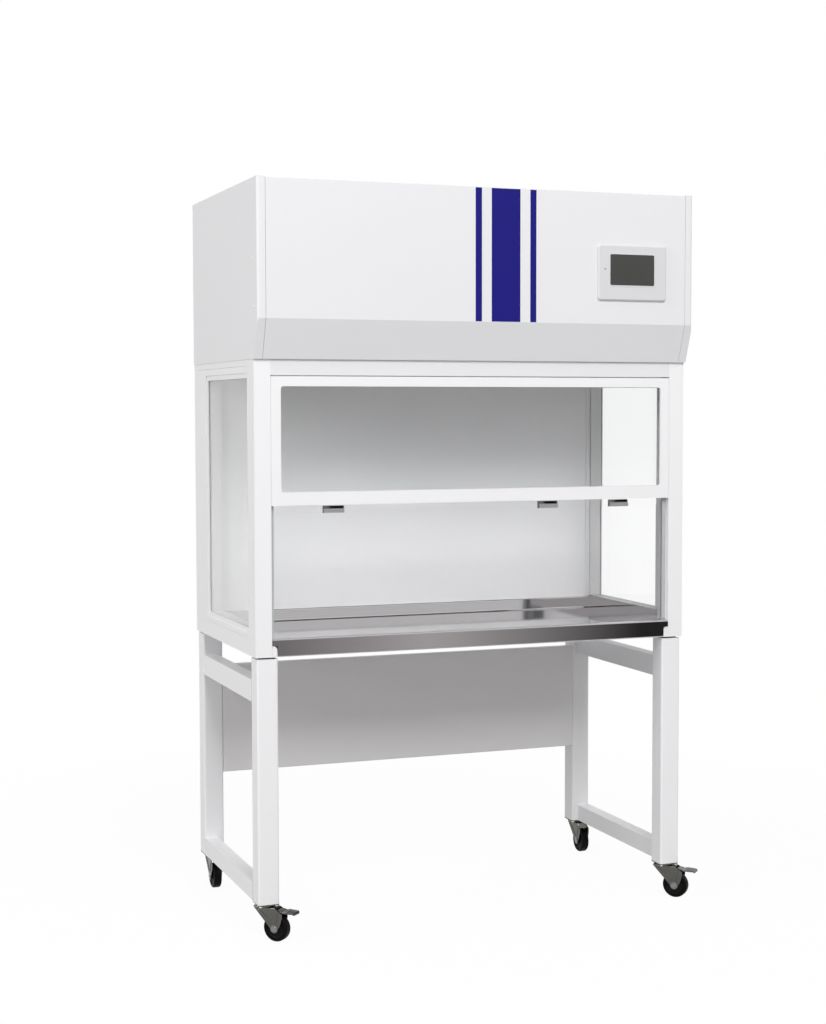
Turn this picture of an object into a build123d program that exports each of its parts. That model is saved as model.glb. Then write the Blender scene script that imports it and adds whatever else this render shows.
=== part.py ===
from build123d import *

import os

# Vertical laminar flow hood on a castered stand.
# Cabinet coordinates: x from the middle of the cabinet, y from the posts' front face towards
# the rear, z from the floor. The planes level(), elevation() and profile() below add the
# offset that puts the model's origin under the middle of its overall box.

os.makedirs("parts", exist_ok=True)

# ---------------------------------------------------------------- clearances
running = 0.05          # radial clearance of a pin in its hole
seam = 0.5              # open joint between two neighbouring panels
slip = 0.3              # gap between a loose piece and its seat

# ---------------------------------------------------------------- stand
leg_tube = 60.0         # square leg, outside
leg_corner = 6.0
tube_wall = 2.5
leg_plate = 4.0         # welded plate that closes the top of a leg
leg_inset = 4.0         # legs stand in from the cabinet's side
front_leg_set = 3.0     # front legs stand back from the posts' face
rear_leg_set = 3.0      # rear legs stand in from the rear panel
upper_rail_height = 60.0
upper_rail_drop = 62.0  # from the leg's top down to the upper rail
lower_rail_height = 50.0
rail_thick = 40.0
pad_height = 5.0
pad_inset = 8.0
panel_sheet = 1.5
panel_height = 329.0
panel_drop = 97.0       # from the leg's top down to the modesty panel
panel_fold = 25.0

# ---------------------------------------------------------------- casters
caster_height = 103.0
wheel_radius = 37.5
wheel_width = 24.0
hub_width = 28.4
hub_radius = 11.0
rim_radius = 29.0
web_width = 15.0
tread_round = 5.0
caster_trail = 35.0
axle_radius = 5.0
rivet_radius = 8.0
rivet_height = 2.5
top_plate = 60.0
top_plate_corner = 5.0
top_plate_thick = 3.0
race_radius = 23.0
race_height = 5.0
king_radius = 6.0
king_head_radius = 10.0
king_head_height = 3.5
fork_sheet = 2.5
fork_back = 31.0        # fork's reach behind the swivel axis
fork_flat = 34.0        # level part of the fork's top ahead of the swivel axis
fork_reach = 59.0       # fork's reach ahead of the swivel axis
fork_shoulder = 15.0    # drop of the fork's top at its far end
fork_bend = 4.0
fork_boss = 12.5
pedal_reach = 100.0
pedal_width = 42.0
pedal_sheet = 3.0
pedal_tip_drop = 4.0
pedal_tip_bend = 6.0
pedal_pin_radius = 3.0
pedal_barrel_radius = 6.0
pedal_pin_x = 46.0
pedal_pin_drop = 19.0   # from the caster's top to the pedal's pin
pedal_wing_gap = 2.5    # from the fork's end to the pedal's wide wing
front_caster_turn = -48.0
rear_caster_turn = -90.0

# ---------------------------------------------------------------- cabinet
cabinet_half = 652.0
cabinet_depth = 670.0
cabinet_height = 807.0
wall_thick = 46.6
skin = 1.5
sill_step = 14.4        # sill stands in from the wall's inner face
sill_height = 31.0
sill_round = 12.0
leg_height = 675.0
header_height = 43.0
header_depth = 30.0
header_gap = 2.7
back_wall_y = 525.0
back_sheet = 2.0
corner_trim = 13.0      # raised trim down each side of the back wall
corner_trim_proud = 3.0
corner_trim_foot = 1.0  # from the tray's back upstand up to the trim
base_sheet = 2.0
base_lip = 14.0

# ---------------------------------------------------------------- side windows
side_bead_front = 70.0  # front edge of the side window's bead frame
side_bead_rear = 53.0   # rear edge of the bead frame ahead of the cabinet's back
side_bead_low = 46.0    # bead frame's lower edge above the cabinet's bottom
side_bead_top = 17.0    # bead frame's upper edge below the cabinet's top
side_bead_sheet = 6.0
side_bead_step = 2.5
side_bead_step_width = 14.0
side_glass_front = 8.0  # widths of the bead on each side of the glass
side_glass_rear = 102.0
side_glass_low = 28.0
side_glass_top = 33.0
side_pane_thick = 5.0
side_pane_lap = 8.0

# ---------------------------------------------------------------- front window and sash
window_rail_low = 36.0
window_rail_top = 27.0
window_stile = 28.6
window_height = 350.3
window_deep = 14.0
glass_corner = 8.0
pane_set = 4.0
pane_thick = 5.0
pane_lap = 8.0
sash_y = 20.0
sash_thick = 6.0
sash_head = 17.8        # sash's upper edge below the front window's top
sash_edge = 5.4         # sash stands in from the cabinet's opening on each side
grip_width = 59.0
grip_height = 20.0
grip_lip = 12.0
grip_nose = 7.0         # grip's reach ahead of the sash
grip_heel = 2.5         # thickness of the grip behind and below the sash
grip_gap = 3.0          # from the grip's top up to the window frame
grip_spots = (-423.0, 224.0, 450.0)
guide_width = 11.4
guide_sheet = 1.5
guide_deep = 22.0       # sash track and the hollow chamber behind it
guide_low = 18.0        # guide's foot above the tray's surface

# ---------------------------------------------------------------- work tray
tray_sheet = 1.5
tray_surface = 35.0     # work surface above the cabinet's bottom
tray_lip = 15.0         # lip above the work surface
tray_lip_deep = 14.0
tray_nose = 2.0         # apron stands ahead of the posts' face
apron_low = 3.5         # apron's lower edge above the cabinet's bottom
tray_bend = 4.0
tray_back_rise = 36.0
tray_side_rise = 40.0
tray_side_lag = 2.0     # from the sash guide back to the side upstand
tray_side_gap = 1.2     # from the wall to the tray's side upstand
tray_back_gap = 7.0     # from the back wall to the back upstand

# ---------------------------------------------------------------- lighting
batten_end_gap = 45.4   # from the batten's ends to the walls
batten_y = 62.0
batten_width = 60.0
batten_height = 22.0
socket_length = 16.0
socket_drop = 20.0
lamp_radius = 8.0
lamp_spacing = 34.0

# ---------------------------------------------------------------- canopy
canopy_lap = 2.0        # canopy stands proud of the walls on each side
canopy_height = 481.0
canopy_overhang = 46.0
bevel_height = 107.0
bevel_foot = 8.0        # foot of the bevel ahead of the posts' face
canopy_sheet = 2.0
cap_width = 24.0
cap_back = 5.0          # seam of the end caps ahead of the posts' face
cap_round = 8.0
door_bend = 1.5
door_return = 12.0
door_side_gap = 0.8
hinge_set = 6.0         # hinge axis behind and below the fascia's top edge
hinge_radius = 3.0
knuckle_radius = 5.5
knuckle_length = 40.0
knuckle_count = 6
roof_edge = 30.0        # front edge of the roof ahead of the posts' face
roof_flange = 20.0
cap_screw_radius = 4.5
cap_screw_height = 1.6
cap_screw_y = 14.0
cap_screw_heights = (139.0, 269.0)
prefilter_length = 520.0
prefilter_width = 320.0
prefilter_rim = 12.0
prefilter_bars = 12
prefilter_bar = 8.0
pad_thick = 15.0

# ---------------------------------------------------------------- fascia trim
stripe_thick = 0.4
stripe_edge = 1.0
stripe_edges = ((-27.6, -8.7), (20.8, 107.6), (138.2, 156.6))
bezel_inset = 198.0     # touch panel's centre from the canopy's right end
bezel_rise = 252.0      # centre of the touch panel above the canopy's bottom
bezel_width = 218.0
bezel_height = 158.0
bezel_proud = 8.0
bezel_corner = 10.0
bezel_bevel = 4.0
bezel_box_margin = 14.0
bezel_box_deep = 28.0
screen_width = 140.0
screen_height = 87.0
screen_shift = -2.0
screen_rise = 8.5
screen_thick = 3.0
screen_corner = 4.0
screen_lip = 3.0        # raised lip round the screen
screen_lip_proud = 1.0
lamp_set = 21.0         # indicator lamp's centre from the housing's left edge
lamp_rise = 10.0
lamp_hole = 2.5
lamp_hole_deep = 1.0

# ---------------------------------------------------------------- air path
ceiling_sheet = 2.0
filter_end_gap = 5.4    # from the filter's ends to the walls
filter_width = 420.0
filter_height = 69.0
filter_rim = 14.0
filter_face_set = 4.0
filter_back_gap = 7.0   # from the filter back to the back wall
ceiling_lap = 20.0
diffuser_sheet = 1.5
diffuser_pitch = 50.0
diffuser_slot = 30.0
deck_rise = 280.0
deck_sheet = 2.0
deck_flange = 25.0
fan_y = 330.0
inlet_radius = 80.0
inlet_lip = 14.0
inlet_round = 10.0
impeller_radius = 125.0
impeller_plate = 2.0
impeller_height = 42.0
impeller_eye = 86.0
impeller_gap = 3.0
blade_count = 9
blade_thick = 2.0
blade_root = 62.0
blade_tip_x = 100.0
blade_tip_y = 66.0
blade_curve = 90.0
hub_height = 30.0
hub_outer = 20.0
shaft_radius = 7.0
shaft_collar = 11.0
motor_radius = 48.0
motor_height = 56.0
motor_gap = 6.0
motor_round = 4.0
bridge_half = 165.0
bridge_width = 64.0
bridge_sheet = 3.0

# ---------------------------------------------------------------- power inlet
inlet_inset = 174.0     # mains inlet's centre from the canopy's right end
inlet_rise = 70.0
inlet_flange_width = 50.0
inlet_flange_height = 29.0
inlet_flange = 2.0
inlet_body_width = 28.0
inlet_body_height = 20.4
inlet_body_deep = 24.0
inlet_wall = 1.8
inlet_socket_deep = 17.0
inlet_pin_length = 11.0
inlet_pin_width = 4.0
inlet_pin_thick = 2.0
inlet_pin_spacing = 7.0
inlet_earth_drop = 4.0

# ---------------------------------------------------------------- derived places
leg_bottom = caster_height
leg_top = leg_bottom + leg_height
cabinet_bottom = leg_top + pad_height
cabinet_top = cabinet_bottom + cabinet_height
canopy_top = cabinet_top + canopy_height
opening_half = cabinet_half - wall_thick
canopy_half = cabinet_half + canopy_lap
batten_half = opening_half - batten_end_gap
filter_length = 2 * (opening_half - filter_end_gap)
filter_y = back_wall_y - filter_back_gap - filter_width / 2
diffuser_slots = int((filter_length - diffuser_slot) // diffuser_pitch)
bezel_x = canopy_half - bezel_inset
inlet_x = canopy_half - inlet_inset
sill_half = opening_half - sill_step
sill_top = cabinet_bottom + sill_height
tray_z = cabinet_bottom + tray_surface

leg_x = cabinet_half - leg_inset - leg_tube / 2
front_leg_y = front_leg_set + leg_tube / 2
rear_leg_y = cabinet_depth - rear_leg_set - leg_tube / 2
leg_gap = leg_x - leg_tube / 2
rail_x = leg_x + leg_tube / 2 - rail_thick / 2
leg_spots = [(-leg_x, front_leg_y), (-leg_x, rear_leg_y)]

front_reach = canopy_overhang + bezel_proud
pedal_tip = Vector(pedal_reach, pedal_width / 4).rotate(Axis.Z, front_caster_turn)
shift_x = -(leg_x + pedal_tip.X - canopy_half) / 2
shift_y = -(cabinet_depth + inlet_flange - front_reach) / 2


def level(z):
    """Horizontal plane at a height, with x to the right and y to the rear."""
    return Plane(origin=(shift_x, shift_y, z))


def elevation(y):
    """Upright plane at a depth that faces the front, with x to the right and z up."""
    return Plane(origin=(shift_x, shift_y + y, 0), x_dir=(1, 0, 0), z_dir=(0, -1, 0))


def profile(x):
    """Upright plane across the width that faces right, with y to the rear and z up."""
    return Plane(origin=(shift_x + x, shift_y, 0), x_dir=(0, 1, 0), z_dir=(1, 0, 0))


middle = profile(0)


def finish(name, part):
    """Labels a piece and writes its STEP file."""
    part.label = name
    export_step(part, f"parts/{name}.step")


# ================================================================ stand
with BuildPart() as left_side_frame:
    with BuildSketch(level(leg_bottom)):
        with Locations(*leg_spots):
            RectangleRounded(leg_tube, leg_tube, leg_corner)
    extrude(amount=leg_height)
    for rail_top, rail_height in (
        (leg_top - upper_rail_drop, upper_rail_height),
        (leg_bottom + lower_rail_height, lower_rail_height),
    ):
        with BuildSketch(elevation(front_leg_y + leg_tube / 2)):
            with Locations((-rail_x, rail_top - rail_height / 2)):
                Rectangle(rail_thick, rail_height)
        extrude(amount=-(rear_leg_y - front_leg_y - leg_tube))
        with BuildSketch(elevation(front_leg_y)):
            with Locations((-rail_x, rail_top - rail_height / 2)):
                Rectangle(rail_thick - 2 * tube_wall, rail_height - 2 * tube_wall)
        extrude(amount=-(rear_leg_y - front_leg_y), mode=Mode.SUBTRACT)
    with BuildSketch(level(leg_bottom)):
        with Locations(*leg_spots):
            RectangleRounded(leg_tube - 2 * tube_wall, leg_tube - 2 * tube_wall, leg_corner - tube_wall)
    extrude(amount=leg_height - leg_plate, mode=Mode.SUBTRACT)
finish("left_side_frame", left_side_frame.part)

with BuildPart() as right_side_frame:
    mirror(left_side_frame.part, about=middle)
finish("right_side_frame", right_side_frame.part)

# Sheet panel between the rear legs, folded to the rear on all four sides.
panel_y = rear_leg_y - leg_tube / 2
with BuildPart() as modesty_panel:
    with BuildSketch(elevation(panel_y)):
        with Locations((0, leg_top - panel_drop - panel_height / 2)):
            Rectangle(2 * leg_gap, panel_height)
    extrude(amount=-panel_fold)
    panel_face = modesty_panel.faces().sort_by(Axis.Y)[0]
    fillet(panel_face.edges().filter_by(Axis.X), radius=2 * panel_sheet)
    panel_back = modesty_panel.faces().sort_by(Axis.Y)[-1]
    offset(amount=-panel_sheet, openings=panel_back)
finish("modesty_panel", modesty_panel.part)

with BuildPart() as stand_pads:
    with BuildSketch(level(leg_top)):
        with Locations(*leg_spots, *[(-x, y) for x, y in leg_spots]):
            RectangleRounded(leg_tube - 2 * pad_inset, leg_tube - 2 * pad_inset, leg_corner)
    extrude(amount=pad_height)
finish("stand_pads", stand_pads.part)

# ================================================================ casters
# One caster is made about its own swivel axis, on the floor, trailing towards +x.
race_bottom = caster_height - top_plate_thick - race_height
fork_top = race_bottom
fork_inner = hub_width / 2 + slip
fork_outer = fork_inner + fork_sheet
pedal_pin_z = caster_height - pedal_pin_drop
axle_axis = Axis((caster_trail, 0, wheel_radius), (0, 1, 0))
pin_plane = Plane(origin=(0, 0, 0), x_dir=(1, 0, 0), z_dir=(0, -1, 0))

with BuildPart() as caster_plate:
    with BuildSketch(Plane.XY.offset(caster_height - top_plate_thick)):
        RectangleRounded(top_plate, top_plate, top_plate_corner)
    extrude(amount=top_plate_thick)
    with BuildSketch(Plane.XY.offset(race_bottom)):
        Circle(race_radius)
    extrude(amount=race_height, taper=-20)
    with BuildSketch(Plane.XY.offset(race_bottom)):
        Circle(king_radius)
    extrude(amount=-(fork_sheet + slip))
    with BuildSketch(Plane.XY.offset(race_bottom - fork_sheet - slip)):
        Circle(king_head_radius)
    extrude(amount=-king_head_height)

with BuildPart() as caster_fork:
    with BuildSketch(Plane.YZ.offset(-fork_back)):
        with Locations((0, fork_top)):
            Rectangle(2 * fork_outer, fork_top, align=(Align.CENTER, Align.MAX))
    extrude(amount=fork_back + fork_reach)
    crown_edges = caster_fork.faces().sort_by(Axis.Z)[-1].edges().filter_by(Axis.X)
    fillet(crown_edges, radius=fork_bend)
    with BuildSketch(Plane.YZ.offset(-fork_back)):
        with Locations((0, fork_top - fork_sheet)):
            Rectangle(2 * fork_inner, fork_top, align=(Align.CENTER, Align.MAX))
    extrude(amount=fork_back + fork_reach, mode=Mode.SUBTRACT)
    with BuildSketch(pin_plane):
        with BuildLine():
            top_line = Polyline(
                (-fork_back, fork_top - fork_sheet),
                (-fork_back, fork_top),
                (fork_flat, fork_top),
                (fork_reach, fork_top - fork_shoulder),
                (fork_reach, fork_top - fork_shoulder - fork_bend),
            )
            belly = RadiusArc(top_line @ 1, (caster_trail + fork_boss, wheel_radius), fork_reach)
            boss = Line(belly @ 1, (caster_trail, wheel_radius - fork_boss))
            nose = Line(boss @ 1, (caster_trail - fork_boss, wheel_radius))
            Line(nose @ 1, top_line @ 0)
        make_face()
        with Locations((caster_trail, wheel_radius)):
            Circle(fork_boss)
    extrude(amount=fork_outer, both=True, mode=Mode.INTERSECT)
    with BuildSketch(pin_plane):
        with Locations((caster_trail, wheel_radius)):
            Circle(axle_radius + running)
    extrude(amount=fork_outer, both=True, mode=Mode.SUBTRACT)
    with BuildSketch(Plane.XY.offset(fork_top)):
        Circle(king_radius + running)
    extrude(amount=-fork_sheet, mode=Mode.SUBTRACT)

# The braked fork has a pair of holes for the pedal's pin.
with BuildPart() as braked_fork:
    add(caster_fork.part)
    with BuildSketch(pin_plane):
        with Locations((pedal_pin_x, pedal_pin_z)):
            Circle(pedal_pin_radius + running)
    extrude(amount=fork_outer, both=True, mode=Mode.SUBTRACT)

with BuildPart() as caster_wheel:
    with BuildSketch(Plane(origin=(caster_trail, 0, wheel_radius), x_dir=(0, 1, 0), z_dir=(1, 0, 0))):
        with Locations((0, axle_radius + running)):
            Rectangle(hub_width, hub_radius - axle_radius, align=(Align.CENTER, Align.MIN))
            Rectangle(web_width, rim_radius, align=(Align.CENTER, Align.MIN))
        with Locations((0, wheel_radius)):
            Rectangle(wheel_width, wheel_radius - rim_radius, align=(Align.CENTER, Align.MAX))
        with Locations((0, axle_radius + running - wheel_radius)):
            Rectangle(hub_width, wheel_radius, align=(Align.CENTER, Align.MIN), mode=Mode.SUBTRACT)
    revolve(axis=axle_axis)
    rim_edges = caster_wheel.edges().filter_by(GeomType.CIRCLE).filter_by(
        lambda edge: abs(edge.radius - wheel_radius) < running
    )
    fillet(rim_edges, radius=tread_round)

with BuildPart() as caster_axle:
    with BuildSketch(Plane(origin=(caster_trail, 0, wheel_radius), x_dir=(1, 0, 0), z_dir=(0, 1, 0))):
        Circle(axle_radius)
    extrude(amount=fork_outer, both=True)
    with BuildSketch(
        Plane(origin=(caster_trail, fork_outer, wheel_radius), x_dir=(1, 0, 0), z_dir=(0, 1, 0)),
        Plane(origin=(caster_trail, -fork_outer, wheel_radius), x_dir=(1, 0, 0), z_dir=(0, -1, 0)),
    ):
        Circle(rivet_radius)
    extrude(amount=rivet_height, taper=35)

# Pressed pedal: a barrel on the pin between the fork's cheeks and a wing that widens
# beyond them and drops a little towards its tip.
with BuildPart() as caster_pedal:
    with BuildSketch(pin_plane):
        with Locations((pedal_pin_x, pedal_pin_z)):
            Circle(pedal_barrel_radius)
    extrude(amount=fork_inner - slip, both=True)
    with BuildSketch(pin_plane):
        with BuildLine():
            FilletPolyline(
                (pedal_pin_x, pedal_pin_z + pedal_barrel_radius),
                (fork_reach + pedal_sheet, pedal_pin_z + pedal_sheet),
                (pedal_reach - pedal_tip_bend, pedal_pin_z + pedal_sheet),
                (pedal_reach, pedal_pin_z + pedal_sheet - pedal_tip_drop),
                radius=pedal_tip_bend,
            )
            offset(amount=pedal_sheet, side=Side.RIGHT)
        make_face()
    extrude(amount=pedal_width / 2, both=True)
    with BuildSketch(Plane.XY.offset(fork_top)) as pedal_plan:
        with Locations((pedal_pin_x - pedal_barrel_radius, 0)):
            Rectangle(
                fork_reach + pedal_wing_gap + slip + pedal_barrel_radius - pedal_pin_x,
                2 * (fork_inner - slip),
                align=(Align.MIN, Align.CENTER),
            )
        with Locations((pedal_reach, 0)):
            Rectangle(
                pedal_reach - fork_reach - pedal_wing_gap,
                pedal_width,
                align=(Align.MAX, Align.CENTER),
            )
        tip_corners = pedal_plan.vertices().sort_by(Axis.X)[-2:]
        fillet(tip_corners, radius=pedal_width / 3)
    extrude(amount=-fork_top, mode=Mode.INTERSECT)
    with BuildSketch(pin_plane):
        with Locations((pedal_pin_x, pedal_pin_z)):
            Circle(pedal_pin_radius)
    extrude(amount=fork_outer, both=True)

caster_spots = {
    "front_left": Location((shift_x - leg_x, shift_y + front_leg_y, 0), (0, 0, front_caster_turn)),
    "front_right": Location((shift_x + leg_x, shift_y + front_leg_y, 0), (0, 0, front_caster_turn)),
    "rear_left": Location((shift_x - leg_x, shift_y + rear_leg_y, 0), (0, 0, rear_caster_turn)),
    "rear_right": Location((shift_x + leg_x, shift_y + rear_leg_y, 0), (0, 0, rear_caster_turn)),
}
for corner, spot in caster_spots.items():
    braked = corner.startswith("front")
    pieces = {
        "fork": braked_fork.part if braked else caster_fork.part,
        "wheel": caster_wheel.part,
        "axle": caster_axle.part,
    }
    if braked:
        pieces["pedal"] = caster_pedal.part
    for piece, source in pieces.items():
        with BuildPart() as placed:
            with Locations(spot):
                add(source)
        finish(f"{corner}_{piece}", placed.part)
    with BuildPart() as placed_plate:
        with Locations(Location(spot.position)):
            add(caster_plate.part)
    finish(f"{corner}_plate", placed_plate.part)

# ================================================================ cabinet walls
side_bead_length = cabinet_depth - side_bead_front - side_bead_rear
side_bead_height = cabinet_height - side_bead_low - side_bead_top
side_bead_centre = (
    side_bead_front + side_bead_length / 2,
    cabinet_bottom + side_bead_low + side_bead_height / 2,
)
side_glass_width = side_bead_length - side_glass_front - side_glass_rear
side_glass_height = side_bead_height - side_glass_low - side_glass_top
side_glass_centre = (
    side_bead_front + side_glass_front + side_glass_width / 2,
    cabinet_bottom + side_bead_low + side_glass_low + side_glass_height / 2,
)
side_pane_width = side_glass_width + 2 * side_pane_lap
side_pane_height = side_glass_height + 2 * side_pane_lap

# Double-skinned wall: outer and inner skins about a cavity that is open at the top, and a
# stepped window opening.
with BuildPart() as left_wall:
    with BuildSketch(profile(-cabinet_half)):
        with Locations((0, cabinet_bottom)):
            Rectangle(cabinet_depth, cabinet_height, align=(Align.MIN, Align.MIN))
    extrude(amount=wall_thick)
    with BuildSketch(profile(-cabinet_half + skin)):
        with Locations((skin, cabinet_bottom + skin)):
            Rectangle(cabinet_depth - 2 * skin, cabinet_height, align=(Align.MIN, Align.MIN))
        with Locations(side_bead_centre):
            Rectangle(
                side_bead_length + 2 * skin, side_bead_height + 2 * skin, mode=Mode.SUBTRACT
            )
    extrude(amount=wall_thick - 2 * skin, mode=Mode.SUBTRACT)
    with BuildSketch(profile(-cabinet_half)):
        with Locations(side_bead_centre):
            Rectangle(side_bead_length, side_bead_height)
    extrude(amount=side_bead_sheet, mode=Mode.SUBTRACT)
    with BuildSketch(profile(-cabinet_half)):
        with Locations(side_glass_centre):
            Rectangle(side_pane_width + 2 * seam, side_pane_height + 2 * seam)
    extrude(amount=side_bead_sheet + side_pane_thick, mode=Mode.SUBTRACT)
    with BuildSketch(profile(-cabinet_half)):
        with Locations(side_glass_centre):
            Rectangle(side_glass_width, side_glass_height)
    extrude(amount=wall_thick, mode=Mode.SUBTRACT)
finish("left_wall", left_wall.part)

with BuildPart() as right_wall:
    mirror(left_wall.part, about=middle)
finish("right_wall", right_wall.part)

# Bead frame, flush with the wall's outer skin, with a lower step along the glass.
with BuildPart() as left_window_frame:
    with BuildSketch(profile(-cabinet_half)):
        with Locations(side_bead_centre):
            Rectangle(side_bead_length - 2 * seam, side_bead_height - 2 * seam)
    extrude(amount=side_bead_sheet)
    with BuildSketch(profile(-cabinet_half)):
        with Locations(side_glass_centre):
            Rectangle(
                side_glass_width + 2 * side_bead_step_width,
                side_glass_height + 2 * side_bead_step_width,
            )
    extrude(amount=side_bead_step, mode=Mode.SUBTRACT)
    with BuildSketch(profile(-cabinet_half)):
        with Locations(side_glass_centre):
            Rectangle(side_glass_width, side_glass_height)
    extrude(amount=side_bead_sheet, mode=Mode.SUBTRACT)
finish("left_window_frame", left_window_frame.part)

with BuildPart() as right_window_frame:
    mirror(left_window_frame.part, about=middle)
finish("right_window_frame", right_window_frame.part)

with BuildPart() as left_window_pane:
    with BuildSketch(profile(-cabinet_half + side_bead_sheet)):
        with Locations(side_glass_centre):
            Rectangle(side_pane_width, side_pane_height)
    extrude(amount=side_pane_thick)
finish("left_window_pane", left_window_pane.part)

with BuildPart() as right_window_pane:
    mirror(left_window_pane.part, about=middle)
finish("right_window_pane", right_window_pane.part)

# Header beam over the front window, a channel folded from sheet and open at the top.
with BuildPart() as front_header:
    with BuildSketch(elevation(0)):
        with Locations((0, cabinet_top)):
            Rectangle(2 * opening_half, header_height, align=(Align.CENTER, Align.MAX))
    extrude(amount=-header_depth)
    header_top = front_header.faces().sort_by(Axis.Z)[-1]
    offset(amount=-skin, openings=header_top)
finish("front_header", front_header.part)

corner_trim_base = tray_z + tray_back_rise + corner_trim_foot
with BuildPart() as back_wall:
    with BuildSketch(elevation(back_wall_y)):
        with Locations((0, sill_top)):
            Rectangle(2 * (opening_half - slip), cabinet_top - sill_top, align=(Align.CENTER, Align.MIN))
    extrude(amount=-back_sheet)
    with BuildSketch(elevation(back_wall_y)):
        with GridLocations(2 * (opening_half - slip) - corner_trim, 0, 2, 1):
            with Locations((0, corner_trim_base)):
                Rectangle(corner_trim, cabinet_top - corner_trim_base, align=(Align.CENTER, Align.MIN))
    extrude(amount=corner_trim_proud)
finish("back_wall", back_wall.part)

with BuildPart() as rear_panel:
    with BuildSketch(elevation(cabinet_depth)):
        with Locations((0, cabinet_bottom)):
            Rectangle(2 * (opening_half - slip), cabinet_height, align=(Align.CENTER, Align.MIN))
    extrude(amount=back_sheet)
finish("rear_panel", rear_panel.part)

# Base pan with an upturned lip behind the apron and at the rear, welded between two sills
# that run along the feet of the walls and carry the tray.
base_front = tray_sheet + slip
with BuildPart() as base_pan:
    with BuildSketch(profile(-sill_half)):
        with BuildLine():
            Polyline(
                (base_front, cabinet_bottom + base_lip),
                (base_front, cabinet_bottom),
                (cabinet_depth - back_sheet - slip, cabinet_bottom),
                (cabinet_depth - back_sheet - slip, cabinet_bottom + base_lip),
            )
            offset(amount=base_sheet, side=Side.LEFT, kind=Kind.INTERSECTION)
        make_face()
    extrude(amount=2 * sill_half)
    with BuildSketch(elevation(0)) as sill_face:
        with Locations((-sill_half, cabinet_bottom)):
            Rectangle(sill_step - slip, sill_height, align=(Align.MAX, Align.MIN))
        with Locations((sill_half, cabinet_bottom)):
            Rectangle(sill_step - slip, sill_height, align=(Align.MIN, Align.MIN))
        inner_corners = sill_face.vertices().group_by(Axis.Y)[-1].sort_by(Axis.X)[1:3]
        fillet(inner_corners, radius=sill_round)
    extrude(amount=-(cabinet_depth - back_sheet - slip))
finish("base_pan", base_pan.part)

# ================================================================ front window and sash
window_top = cabinet_top - header_height - header_gap
window_centre = window_top - window_height / 2
glass_width = 2 * (opening_half - window_stile)
glass_height = window_height - window_rail_low - window_rail_top
glass_centre = window_top - window_rail_top - glass_height / 2

with BuildPart() as front_window_frame:
    with BuildSketch(elevation(0)):
        with Locations((0, window_centre)):
            Rectangle(2 * (opening_half - seam), window_height)
        with Locations((0, glass_centre)):
            RectangleRounded(glass_width, glass_height, glass_corner, mode=Mode.SUBTRACT)
    extrude(amount=-window_deep)
    with BuildSketch(elevation(pane_set)):
        with Locations((0, glass_centre)):
            RectangleRounded(
                glass_width + 2 * pane_lap, glass_height + 2 * pane_lap, glass_corner + pane_lap
            )
    extrude(amount=-window_deep, mode=Mode.SUBTRACT)
finish("front_window_frame", front_window_frame.part)

with BuildPart() as front_window_pane:
    with BuildSketch(elevation(pane_set)):
        with Locations((0, glass_centre)):
            RectangleRounded(
                glass_width + 2 * (pane_lap - slip),
                glass_height + 2 * (pane_lap - slip),
                glass_corner + pane_lap - slip,
            )
    extrude(amount=-pane_thick)
finish("front_window_pane", front_window_pane.part)

# Sash parked behind the front window, with three grips clipped over its lower edge.
grip_top = window_top - window_height - grip_gap
sash_low = grip_top - grip_height + grip_heel
sash_half = opening_half - sash_edge
with BuildPart() as sash_pane:
    with BuildSketch(elevation(sash_y)):
        with Locations((0, sash_low)):
            Rectangle(2 * sash_half, window_top - sash_head - sash_low, align=(Align.CENTER, Align.MIN))
    extrude(amount=-sash_thick)
finish("sash_pane", sash_pane.part)

with BuildPart() as sash_grips:
    for grip_x in grip_spots:
        with BuildSketch(profile(grip_x - grip_width / 2)) as grip_section:
            with Locations((sash_y - grip_nose, grip_top - grip_height)):
                Rectangle(
                    grip_nose + sash_thick + grip_heel, grip_lip, align=(Align.MIN, Align.MIN)
                )
            fillet(grip_section.vertices().group_by(Axis.X)[0], radius=grip_heel)
            with Locations((sash_y - grip_heel, grip_top - grip_height)):
                Rectangle(2 * grip_heel + sash_thick, grip_height, align=(Align.MIN, Align.MIN))
            with Locations((sash_y, sash_low)):
                Rectangle(sash_thick, grip_height, align=(Align.MIN, Align.MIN), mode=Mode.SUBTRACT)
        extrude(amount=grip_width)
finish("sash_grips", sash_grips.part)

# Channel that guides the sash's edge, open towards the middle of the cabinet, with a
# stiffening chamber behind the track.
guide_base = tray_z + guide_low
guide_slot = sash_thick + 2 * slip
guide_front = sash_y - slip - guide_sheet
with BuildPart() as left_sash_guide:
    with BuildSketch(level(guide_base)):
        with Locations((-opening_half, guide_front)):
            Rectangle(guide_width, guide_deep, align=(Align.MIN, Align.MIN))
        with Locations((-opening_half + guide_sheet, guide_front + guide_sheet)):
            Rectangle(guide_width, guide_slot, align=(Align.MIN, Align.MIN), mode=Mode.SUBTRACT)
        with Locations((-opening_half + guide_sheet, guide_front + 2 * guide_sheet + guide_slot)):
            Rectangle(
                guide_width - 2 * guide_sheet,
                guide_deep - 3 * guide_sheet - guide_slot,
                align=(Align.MIN, Align.MIN),
                mode=Mode.SUBTRACT,
            )
    extrude(amount=cabinet_top - header_height - guide_base)
finish("left_sash_guide", left_sash_guide.part)

with BuildPart() as right_sash_guide:
    mirror(left_sash_guide.part, about=middle)
finish("right_sash_guide", right_sash_guide.part)

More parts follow.
